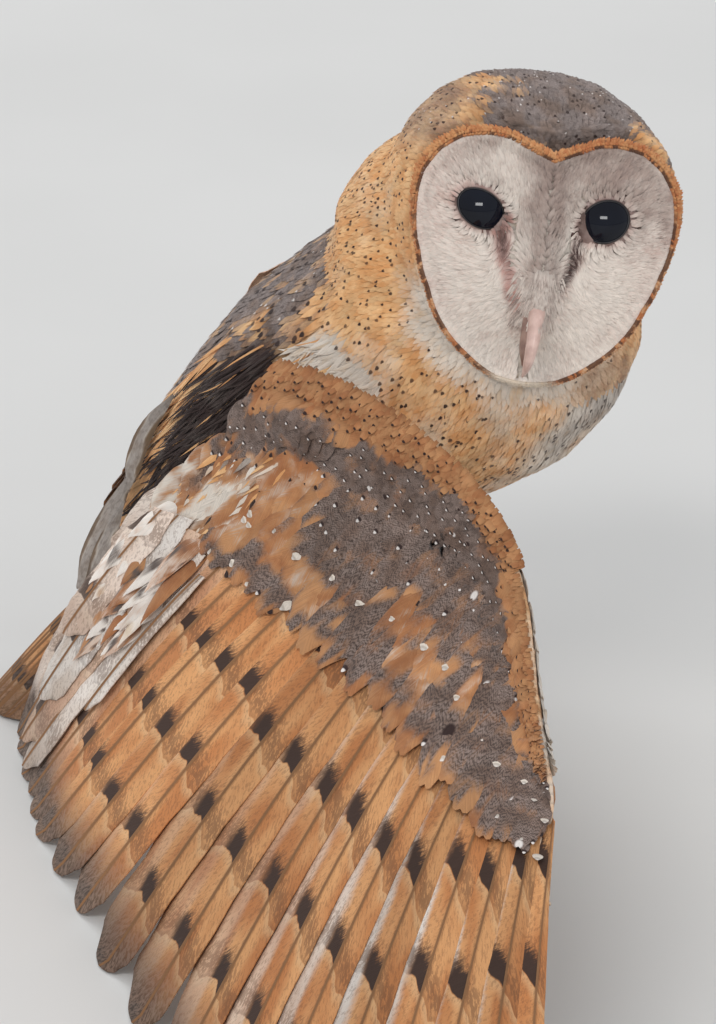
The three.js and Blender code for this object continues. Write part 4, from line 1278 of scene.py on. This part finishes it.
# Shares of blush, grey and dark over the face: brown streaks run from the eyes' inner corners to the bill,
# darker beside the ridge on the right as painted shadow, and the face greys towards the right as painted
# shade
def discTone(x, y, chance):
    blur, place = drift(onFace(x, y, 0 * x).reshape(-1, 3), 13).reshape(x.shape) - 0.5, np.abs(x)
    streakAt = np.where(x < 0, np.interp(y, [-18, -12, -7, 0, 5], [4.2, 7.3, 8.8, 11, 11.9]),
                        np.interp(y, [-18, -11, -7, -2, 2, 7], [3.4, 5.6, 7.1, 9, 9.7, 11.3]))
    tear = bump(place, streakAt, mix(2.0, 2.5, ease(y, -16, 0))) * ease(y, -20, -13) * (1 - ease(y, 9, 12))
    tear *= np.clip(1.0 + 0.8 * blur + 0.4 * (chance - 0.5), 0, 1)
    # stronger on the right, where part of the dark is painted shadow beside the ridge
    hollowEye = np.where(x > 0, 0.85 * ease(y, -14, -3), 0.75 * ease(y, -10, 1))
    hollowEye = tear * hollowEye * (1 - 0.5 * ease(y, 3, 7))
    ring = bump(eyeReach(x, y), 1.15, 0.2)
    cere = bump(x, -0.4, 5) * bump(y, -19, 5)
    part = bump(x, 0.4, 0.55) * ease(y, -8, 0) * (1 - ease(y, 30, 36))
    blush = np.clip(tear * 0.95 + ring * 0.3 + cere * 0.45 + 0.22 * ease(place, 16, 34) + 0.17, 0, 1)
    # on the right the streak turns from blush to dark: painted shadow beside the ridge
    blush *= np.where(x > 0, 1 - 0.7 * tear, 1)
    dark = np.clip(0.95 * hollowEye + 0.25 * tear * (x > 0) + 0.2 * ring * (place < 13) + 0.3 * part, 0, 1)
    # the grey towards the right is painted shade
    grey = np.clip(0.6 * ease(y + 12 * blur, 2, 36) + 0.7 * ease(x, 0, 32) * ease(y, -8, 22)
                   + 0.9 * bump(x, 0.5, 7) * ease(y, -20, -6) + 0.25 * ease(x, 0, 20), 0, 1)
    return np.stack([blush, grey * (1 - blush), dark], -1)


def layDisc(gap=0.95):
    gx, gy = np.meshgrid(np.arange(-46, 46, gap), np.arange(-40, 48, gap * 0.9))
    gx = gx + (np.arange(gx.shape[0]) % 2)[:, None] * gap / 2
    x, y = (gx + dice.uniform(-0.5, 0.5, gx.shape)).ravel(), (gy + dice.uniform(-0.5, 0.5, gy.shape)).ravel()
    free = (discGap(x, y) > 0.1) & (eyeReach(x, y) > 1.0)
    free &= ~((np.abs(x + 0.8) < 2.0) & (y < -22) & (y > -36))
    x, y = x[free], y[free]
    steps = 3
    near = bump(eyeReach(x, y), 1, 0.7)
    ridge = bump(x, 0, 4) * ease(y, -24, -14)
    long = mix(6.4, 2.8, np.maximum(near, ridge * 0.75)) * dice.uniform(0.8, 1.2, len(x))
    long = np.minimum(long, np.maximum(discGap(x, y), 0) + 1.1)
    qx, qy, paths, ups = x.copy(), y.copy(), [], []
    for k in range(steps + 1):
        lift = mix(-0.2, 0.45 + 0.3 * ridge, k / steps) * dice.uniform(0.85, 1.15, len(x))
        paths.append(discAt(qx, qy, lift))
        ups.append(discNormal(qx, qy))
        way = discFlow(qx, qy) + dice.uniform(-0.12, 0.12, (len(x), 2))
        qx, qy = qx + way[:, 0] * long / steps, qy + way[:, 1] * long / steps
    paths, ups = np.stack(paths, 1), np.stack(ups, 1)
    run = np.linalg.norm(np.diff(paths, axis=1), axis=-1).sum(1)
    straight = np.linalg.norm(paths[:, -1] - paths[:, 0], axis=-1) > 0.9 * run
    x, y, near, paths, ups = x[straight], y[straight], near[straight], paths[straight], ups[straight]
    half = mix(0.72, 0.5, near) * dice.uniform(0.85, 1.15, len(x))
    chance = dice.random((len(x), 1))
    tone = np.concatenate([discTone(x[:, None], y[:, None], chance)[:, 0], chance], 1)
    mark = shadeOnly(0.55 + 0.35 * (dice.random(len(x)) - 0.5))

    def field(places, a, b):
        f = faceOf(places)
        return discTone(f[..., 0], f[..., 1], chance)

    layVanes("discTufts", discVane, paths, ups, half, tone, mark, discMaterial, "plumage_white", field)


# Bristles that hang over the root of the bill
def layBristles(count=560):
    x = dice.normal(-0.2, 2.4, count)
    y = dice.uniform(-17, -3, count)
    way = unit(np.stack([np.clip(x * 0.1, -0.5, 0.5), -np.ones(count)], -1))
    long = dice.uniform(4.5, 7, count) * mix(0.8, 1.1, ease(np.abs(x), 1, 3))
    paths, ups = [], []
    for share in np.linspace(0, 1, 4):
        qx, qy = x + way[:, 0] * long * share, y + way[:, 1] * long * share
        culmen = np.interp(qy, [-30, -24.5, -19, -14, -9], [11.3, 13.7, 11.9, 8.1, 3.2])
        culmen = culmen * np.sqrt(np.maximum(1 - (qx / 3.2) ** 2, 0))
        rise = np.maximum(mix(0.1, 0.9, share), culmen - discDepth(qx, qy) + mix(0.2, 0.9, share))
        paths.append(discAt(qx, qy, rise))
        ups.append(discNormal(qx, qy))
    greys, darks, chances = dice.random((3, count))
    tone = np.stack([0.3 + 0 * x, 0.55 * greys, 0.12 + 0.2 * darks, chances], 1)
    layVanes("bristles", discVane, np.stack(paths, 1), np.stack(ups, 1), dice.uniform(0.3, 0.5, count), tone,
             shadeOnly(0.5 + 0 * x), discMaterial, "plumage_white")


discMaterial = plumage("discTuft", colours=discColours, rippled=0.0, barbCount=10, roughness=0.75)
layDisc()
layBristles()

# Ruff: stiff little feathers packed round the disc's edge, longest over the eyes
ruffVane = vaneShape(2, 4, [0.8, 1, 1, 0.9, 0.5], roundness=0.15, arch=0.3)
# each row: how far outside the disc it starts, how many, how long at the top and elsewhere
ruffRows = [(-0.6, 380, 1.2, 1.0), (-0.1, 360, 1.8, 1.2), (0.5, 340, 2.0, 1.3), (1.0, 320, 2.0, 1.4)]
ruffSteps = 4


def layRuff():
    paths, ups, half, high, rowOf = [], [], [], [], []
    for row, (offset, count, longTop, longSide) in enumerate(ruffRows):
        angle = (np.arange(count) + 0.5 * (row % 2) + dice.uniform(-0.3, 0.3, count)) / count * 2 * math.pi
        x, y = np.sin(angle), np.cos(angle)
        base = discRadius(x, y) + 0.3
        edge = discDepth(x * base, y * base)
        top = ease(y, 0.0, 0.55)
        long = mix(longSide, longTop, top) * dice.uniform(0.85, 1.1, count)
        stations, normals = [], []
        for share in np.linspace(0, 1, ruffSteps + 1):
            r = base + offset * mix(0.3, 1, top) + long * share
            curl = mix(-1.0, 0.1, 1 - (1 - share) ** 2) + 0.35 * np.sin(share * 2.6)
            z = edge + head["rimRise"] - 0.4 + curl - ease(r - base, 0.8, 5.0) * 3.8 - 0.2 * row
            stations.append(onFace(x * r, y * r, z))
            tilt = mix(-0.4, 0.9, share)
            normals.append(unit(np.stack([x * tilt, y * tilt, np.ones_like(x)], -1)) @ faceAxes)
        paths.append(np.stack(stations, 1))
        ups.append(np.stack(normals, 1))
        half.append(np.full(count, 0.55) * dice.uniform(0.85, 1.15, count))
        high.append(top)
        rowOf.append(np.full(count, row))
    paths, ups, half, top, row = (np.concatenate(v) for v in (paths, ups, half, high, rowOf))
    x = faceOf(paths[:, 0])[:, 0]
    chance = dice.random(len(top))
    gold = np.clip(mix(0.8, 1.0, top) + 0.3 * (chance - 0.5), 0, 1)
    patchy = drift(paths[:, 0], 6, 3)
    foot = 1 - ease(np.abs(x + 1), 5, 13) * (1 - top) - top
    # the inner row's dark line is painted shadow between the ruff and the disc
    line = (row == 0) * ease(patchy, 0.3, 0.5) * mix(0.75, 0.95, top * (x > 0))
    scallop = (row < 3) * (1 - top) * 0.8 * ease(drift(paths[:, 0], 3.5, 4), 0.45, 0.6)
    strokes = (dice.random(len(top)) < 0.06) * 0.5
    dark = np.maximum.reduce([line * (chance < 0.9), scallop, strokes]) * (1 - 0.85 * np.clip(foot, 0, 1))
    gold = gold * (1 - 0.9 * np.clip(foot, 0, 1))
    tone = np.stack([gold, 0 * top, dark, chance], 1)
    mark = shadeOnly(mix(0.4, 0.7, dice.random(len(top))))
    layVanes("ruff", ruffVane, paths, ups, half, tone, mark, ruffMaterial, "plumage_gold")


ruffColours = {
    **coatColours,
    "gold": colour(208, 150, 100),
    "orange": colour(184, 112, 70),
    "white": colour(224, 208, 188),
    "dark": colour(104, 70, 52),
}
ruffMaterial = plumage("ruffFeather", colours=ruffColours, rippled=0.0, barbCount=14)
layRuff()
print("face feathered")


# Turns a finished shape into a smooth piece
def addSolid(name, bm, material):
    mesh = meshFrom(bm, name)
    mesh.shade_smooth()
    mesh.materials.append(material)
    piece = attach(addPiece(name, mesh), "root")
    return piece


# A grid wrapped round into a tube or ring: place turns angles and shares of the length into points
def wrapGrid(name, around, along, place, material):
    bm = bmesh.new()
    bmesh.ops.create_grid(bm, x_segments=around, y_segments=along, size=1)
    flat = np.array([v.co[:] for v in bm.verts])
    angle, share = (flat[:, 0] + 1) * math.pi, (flat[:, 1] + 1) / 2
    layer = bm.verts.layers.float.new("rim")
    for v, p, r in zip(bm.verts, toFrame(place(angle, share)), share):
        v.co = p
        v[layer] = r
    bmesh.ops.remove_doubles(bm, verts=bm.verts, dist=2e-5)
    bmesh.ops.holes_fill(bm, edges=[e for e in bm.edges if e.is_boundary], sides=around + 1)
    bmesh.ops.recalc_face_normals(bm, faces=bm.faces)
    return addSolid(name, bm, material)


# Eyes and lids: each ring of a lid as its growth from the opening and its rise
lidRings = [(0.9, -1.0), (0.955, 0.1), (0.985, 0.35), (1.015, 0.42), (1.05, 0.3), (1.12, -0.3), (1.28, -1.1),
            (1.6, -1.6), (1.8, -2.8)]
ringShares = np.linspace(0, 1, len(lidRings))
for name, side in (("right", -1), ("left", 1)):
    k = (side + 1) // 2
    ex, ey = side * head["eyeSpacing"] + eyeSet["shift"][k], head["eyeHeight"]
    ez = float(discDepth(ex, ey)) - eyeSet["sink"][k]
    bm = bmesh.new()
    bmesh.ops.create_uvsphere(bm, u_segments=56, v_segments=36, radius=eyeSet["radius"] * 0.001)
    bmesh.ops.translate(bm, verts=bm.verts, vec=Vector(toFrame(onFace(ex, ey, ez))))
    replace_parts(addSolid("eyeball_" + name, bm, eyeMaterial), "eye_" + name)

    def lidAt(angle, share):
        grow, rise = (np.interp(share, ringShares, values) for values in zip(*lidRings))
        tilt = math.radians(eyeSet["tilt"]) * side
        inner = angle - (math.pi if side > 0 else 0)
        corner = np.degrees(np.abs(np.angle(np.exp(1j * inner))))
        grown = grow * (1 + eyeSet["corner"] * bump(corner, 0, 24))
        px, py = eyeSet["long"][k] * np.cos(angle) * grown, eyeSet["short"][k] * np.sin(angle) * grown
        x, y = px * math.cos(tilt) - py * math.sin(tilt), px * math.sin(tilt) + py * math.cos(tilt)
        onBall = ez + np.sqrt(np.maximum(eyeSet["radius"] ** 2 - x * x - y * y, 4))
        onDisc = discDepth(ex + x, ey + y) - 0.2
        height = mix(onBall, onDisc, ease(grow, 1.02, 1.25)) + rise
        return onFace(ex + x, ey + y, np.maximum(height, onBall + np.where(grow > 0.95, 0.12, -5)))

    wrapGrid("lids_" + name, 56, len(lidRings) - 1, lidAt, lidMaterial)
print("eyes made")


# Places round a line of points, as wide and deep as it says there
def tubeAt(points, widths, depths, acrossWay):
    def place(angle, share):
        middle = lineAt(points, share)
        ahead = unit(lineAt(points, share + 0.01) - lineAt(points, share - 0.01))
        across = unit(acrossWay - dot(acrossWay, ahead)[:, None] * ahead)
        up = unit(np.cross(ahead, across))
        wide, deep = valueAt(widths, share), valueAt(depths, share)
        return middle + across * (np.cos(angle) * wide)[:, None] + up * (np.sin(angle) * deep)[:, None]

    return place


# the lower bill has a darker horn than the upper: painted shade where the bill lies in shadow
lowerBillShadedMaterial = plain("lowerBillShadedHorn", colour(126, 96, 86), colour(160, 130, 116), 320.0, 0.45)
# Bill: face places, half widths and half depths from the root to the tip
billSet = {
    "upper": [(0.1, -9, 0.2), (0, -14, 4.2), (-0.3, -19, 8.0), (-0.8, -24.5, 10.2), (-1.3, -30, 9.0),
              (-1.9, -34.6, 4.9)],
    "upperWidth": [2.2, 2.5, 2.2, 1.8, 1.3, 0.3],
    "upperDepth": [3.0, 3.8, 3.8, 3.3, 2.3, 0.35],
    "lower": [(-0.8, -15, 2.6), (-1.2, -21, 5.0), (-1.7, -26.5, 6.0), (-2.0, -31.5, 4.8)],
    "lowerWidth": [2.6, 2.7, 2.2, 0.5],
    "lowerDepth": [2.2, 2.4, 2.0, 0.4],
}
for half in ("upper", "lower"):
    line = [onFace(*p) for p in billSet[half]]
    place = tubeAt(line, billSet[half + "Width"], billSet[half + "Depth"], faceRight)
    material = billMaterial if half == "upper" else lowerBillShadedMaterial
    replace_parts(wrapGrid("bill" + half.title(), 28, 24, place, material), "bill_" + half)

# Feet: scaled toes on soft pads, with hooked claws
footSet = {
    "ahead": -8,
    "spacing": 26,
    "angles": [-34, 2, 40, 168],
    "lengths": [25, 30, 25, 17],
    "radius": 3.2,
    "claw": 14,
}
shankSet = {  # places ahead, aside and up, and half widths
    "line": [(-7.6, 26, 1.6), (-8.2, 26, 4.6), (-9.6, 26, 8), (-11.6, 25.7, 13), (-14.6, 25.1, 20)],
    "half": [3.4, 4.7, 4.2, 3.8, 3.2],
}
for name, side in (("right", -1), ("left", 1)):
    centre = fromBody(footSet["ahead"], side * footSet["spacing"], 0)
    toes = []
    for k, (angle, length) in enumerate(zip(footSet["angles"], footSet["lengths"])):
        turned = np.array(Matrix.Rotation(math.radians(side * angle), 3, "Z")) @ heading
        sideways = np.cross(turned, [0, 0, 1.0])
        r = footSet["radius"]
        knuckles = [(-0.14, 3.6), (0.1, r + 0.5), (0.34, r + 0.5), (0.5, r + 0.1), (0.66, r - 0.3),
                    (0.85, r - 0.5), (1.02, r - 0.4)]
        stations = [centre + turned * length * t + [0, 0, h] for t, h in knuckles]
        widths = [3.9, r + 0.5, r, r * 0.86, r * 0.9, r * 0.86, r * 0.5]
        heights = [3.6, r + 0.3, r, r * 0.86, r * 0.86, r * 0.8, r * 0.45]

        def toeAt(angle, share):
            scales = 1 + 0.05 * np.sin(share * length * 3.2) * ease(np.sin(angle), -0.2, 0.3)
            place = tubeAt(stations, widths, heights, sideways)(angle, share)
            middle = lineAt(stations, share)
            place = middle + (place - middle) * scales[:, None]
            place[:, 2] = np.maximum(place[:, 2], 0.02)
            return place

        toes.append(wrapGrid(f"toe_{name}_{k + 1}", 18, 40, toeAt, toeMaterial))
        root = centre + turned * (length + 0.75)
        hook = [(-0.12, 3.0), (0.12, 4.0), (0.4, 4.5), (0.7, 3.6), (1, 0.75)]
        line = [root + turned * footSet["claw"] * t + [0, 0, h] for t, h in hook]
        place = tubeAt(line, [1.6, 1.8, 1.5, 1.05, 0.12], [1.8, 2.0, 1.7, 1.15, 0.12], sideways)
        claw = wrapGrid(f"talon_{name}_{k + 1}", 14, 16, place, clawMaterial)
        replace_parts(claw, f"claw_{name}_{k + 1}")
    shank = [fromBody(a, side * s, h) for a, s, h in shankSet["line"]]
    place = tubeAt(shank, shankSet["half"], shankSet["half"], acrossBody)
    wrapGrid("shank_" + name, 24, 30, place, toeMaterial)
    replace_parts(toes[0], "foot_" + name)
print("bill and feet made")

# Ruffled strands where the back meets the spread wing
strandVane = vaneShape(2, 5, [0.6, 1.0, 0.95, 0.8, 0.6, 0.2], roundness=0.1, arch=0.3)
strandSet = {
    # piece: how many, length from and to, half width from and to, lift from and to, and the parts of dark,
    # gold and white
    "hollowStrands": (760, 12, 30, 0.25, 0.6, 0.5, 4.0, (0.94, 0.05, 0.01)),
    "hollowEdge": (130, 16, 30, 0.5, 1.1, 0.8, 2.6, (0.1, 0.85, 0.05)),
    "shoulderFluff": (330, 8, 13, 0.4, 0.8, 0.6, 2.2, (0.0, 0.05, 0.95)),
}
hollowAcross, hollowAlong = faceAngle, 200 * faceAlong
edgeLine = [(64, 124), (52, 128), (46, 140), (42, 148)]
nearHollow = {
    "hollowStrands": nearLine(hollowAlong, hollowAcross, trunkMarks["hollow"], 13) > 0.4,
    "hollowEdge": nearLine(hollowAlong, hollowAcross, edgeLine, 6) > 0.4,
    "shoulderFluff": nearLine(hollowAlong, hollowAcross, trunkMarks["fluff"], 7) > 0.35,
}


# Tone and mark of feathers picked as dark, gold or white in the given parts
def shares(count, parts):
    pick = dice.choice(3, count, p=np.array(parts) / sum(parts))
    tone = np.stack([(pick == 1) * 1.0, pick * 0.0, (pick == 0) * 0.85, dice.random(count)], 1)
    return tone, shadeOnly(dice.uniform(0.3, 0.7, count))


for name, (count, short, long, thin, thick, low, high, parts) in strandSet.items():
    index = np.flatnonzero(nearHollow[name] & (faceOwners <= 2))
    index = dice.choice(index, count, p=faceAreas[index] / faceAreas[index].sum())
    lifts = dice.uniform(low, high, count)
    paths, ups = walk(faceMiddles[index], index, dice.uniform(short, long, count), lifts, 6)
    bend = dice.uniform(-4, 4, (count, 1)) * np.linspace(0, 1, 7) ** 2
    sideways = unit(np.cross(np.gradient(paths, axis=1), ups))
    paths = paths + sideways * bend[..., None]
    tone, mark = shares(count, parts)
    half = dice.uniform(thin, thick, count)
    layVanes(name, strandVane, paths, ups, half, tone, mark, coatMaterial, "plumage_gold")

# Tufts of the legs' lower ends, hanging over the ankles: rings of the way down, each as place and radius
ankleSet = {
    "count": 260,
    "rings": [(-14, 25.2, 19, 4.0), (-12, 25.7, 14.5, 4.7), (-10.4, 26, 10.5, 5.2), (-9.4, 26, 6.8, 5.3)],
}
for name, side in (("right", -1), ("left", 1)):
    count = ankleSet["count"]
    turn = dice.uniform(0, 2 * math.pi, count)
    outward = heading * np.cos(turn)[:, None] + acrossBody * np.sin(turn)[:, None]
    down = dice.uniform(0.75, 1.05, (count, 1)) * np.linspace(0, 1, 7) + dice.uniform(-0.2, 0.1, (count, 1))
    middles = lineAt([fromBody(a, side * s, h) for a, s, h, r in ankleSet["rings"]], down)
    radii = valueAt([r for a, s, h, r in ankleSet["rings"]], down)[..., None]
    middles[..., 2] -= 4 * (down - np.clip(down, 0, 1))
    tone, mark = shares(count, (0.0, 0.06, 0.94))
    paths = middles + outward[:, None] * (radii + dice.uniform(-0.2, 0.5, (count, 1, 1)))
    layVanes("ankleTufts_" + name, strandVane, paths, np.repeat(outward[:, None], 7, 1),
             dice.uniform(0.7, 1.2, count), tone, mark, coatMaterial, "plumage_white")

# Loose cream, orange and white feathers over the roots of the inner flight feathers
looseSet = {
    "count": 420,
    "s": (0.0, 0.19),
    "v": (0.2, 0.5),
    "length": (8, 17),
    "half": (0.5, 1.3),
    "lift": (0.8, 2.4),
}
count = looseSet["count"]
s, v = dice.uniform(*looseSet["s"], count), dice.uniform(*looseSet["v"], count)
v = np.clip(v - 0.2 * s, 0.16, 0.5)
wanted = dice.random(count) < 1 - 0.7 * ease(s, 0.1, 0.19)
s, v = s[wanted], v[wanted]
count = len(s)
length, sway = dice.uniform(*looseSet["length"], count), dice.uniform(-0.02, 0.02, count)
paths, ups = onWing(rightWing, s, v, length, sway, dice.uniform(*looseSet["lift"], count), steps=6)
tone, mark = shares(count, (0.08, 0.42, 0.5))
tone[:, 0] = np.maximum(tone[:, 0], 0.35 * dice.random(count))
tone[:, 1] = 0.6 * (dice.random(count) < 0.15)
half = dice.uniform(*looseSet["half"], count)
layVanes("looseCoverts", strandVane, paths, ups, half, tone, mark, coatMaterial, "plumage_gold")


# Long feathers of the folded wing, pale grey with olive-brown edges: places from root to tip
longLines = [
    [onTrunk(0.25, 127, 1.0), onTrunk(0.215, 130, 2.0), onTrunk(0.19, 138, 2.6), onTrunk(0.17, 148, 3.0)],
    [(-81, 8, 95), (-87, -1, 85), (-92, -7, 75), (-96, -10, 64)],
    [(-83, -2, 90), (-88, -11, 79), (-91, -14, 67), (-93, -15, 56)],
]
longHalf = np.array([3.7, 4.6, 4.2])
longVane = vaneShape(10, 12, [0.12, 0.55, 0.85, 1.0, 1.0, 0.98, 0.85, 0.45], roundness=0.12, arch=0.22,
                     fringe=0.01, seed=9)
longColours = {
    **coatColours,
    "grey": colour(160, 150, 142),
    "greyWarm": colour(142, 128, 116),
    "greyDeep": colour(112, 100, 92),
    "gold": colour(118, 94, 70),
    "orange": colour(92, 72, 54),
    "dark": colour(76, 60, 46),
}
longMaterial = plumage("longFeather", colours=longColours, rippled=0.25, barbCount=60)


def longField(places, x, y):
    patch = drift(places.reshape(-1, 3), 7, 3).reshape(x.shape)
    edge = ease(np.abs(x) / longHalf[:, None] + 0.3 * patch - 0.15, 0.3, 0.75)
    return np.stack([0.9 * edge + 0.1, 0.95 - 0.75 * edge + 0 * y, 0.35 * edge + 0 * y], -1)


paths = np.stack([lineAt(line, np.linspace(0, 1, 9)) for line in longLines])
ahead = unit(np.gradient(paths, axis=1))
outward = np.array([-0.6, -0.6, 0.5])
ups = unit(outward - dot(outward, ahead)[..., None] * ahead)
count = len(longLines)
tone = np.stack([np.zeros(count)] * 3 + [dice.random(count)], 1)
layVanes("longFeathers", longVane, paths, ups, longHalf, tone, shadeOnly(np.full(count, 0.6)), longMaterial,
         "plumage_grey", longField)
print("loose feathers laid")

# Studio, camera and finish
lampAim = Vector((0, 0, 0.12))


def studio():
    bm = bmesh.new()
    bmesh.ops.create_grid(bm, x_segments=1, y_segments=1, size=6)
    floor = addPiece("floor", meshFrom(bm, "floor"))
    pale, paler = (0.66, 0.65, 0.63, 1), (0.7, 0.69, 0.67, 1)
    floor.data.materials.append(plain("paleFloor", pale, paler, 3.0, 0.8, 0.0))
    world = bpy.data.worlds.new("studio")
    bpy.context.scene.world = world
    world.use_nodes = True
    sky = world.node_tree.nodes["Background"].inputs
    sky["Color"].default_value, sky["Strength"].default_value = (0.93, 0.96, 1.0, 1), 0.62
    lights = {  # place, width, height and power; the glint shows in the eyes only
        "key": ((-0.7, -1.7, 2.1), 1.3, 0.45, 24),
        "glint": ((0.04, -2.62, 1.37), 1.3, 0.5, 30),
        "fill": ((1.9, -0.9, 1.4), 1.4, 1.4, 9),
        "back": ((-0.6, 1.7, 1.8), 1.6, 1.2, 16),
    }
    for name, (place, width, height, power) in lights.items():
        lamp = bpy.data.lights.new(name, "AREA")
        lamp.shape = "RECTANGLE"
        lamp.size, lamp.size_y, lamp.energy = width, height, power
        lampPiece = addPiece(name, lamp)
        lampPiece.location = place
        lampPiece.visible_glossy = name == "glint"
        lampPiece.visible_diffuse = name != "glint"
        lampPiece.rotation_euler = (lampAim - Vector(place)).to_track_quat("-Z", "Y").to_euler()


view = {"lookAt": (-12, 0, 88), "elevation": 25, "distance": 1500, "roll": 1.9, "lens": 174.02}


def addCamera():
    data = bpy.data.cameras.new("camera")
    camera = addPiece("camera", data)
    data.lens, data.sensor_width = view["lens"], 36
    data.clip_start, data.clip_end = 0.05, 30
    e, r = math.radians(view["elevation"]), math.radians(view["roll"])
    back = Vector((0, -math.cos(e), math.sin(e)))
    right, up = Vector((1, 0, 0)), Vector((0, math.sin(e), math.cos(e)))
    turned = right * math.cos(r) + up * math.sin(r), -right * math.sin(r) + up * math.cos(r)
    pose = Matrix((*turned, back)).transposed().to_4x4()
    pose.translation = Vector(toFrame(view["lookAt"])) + back * view["distance"] * 0.001
    camera.matrix_world = pose
    bpy.context.scene.camera = camera


studio()
addCamera()
bpy.context.scene.view_settings.view_transform = "Standard"
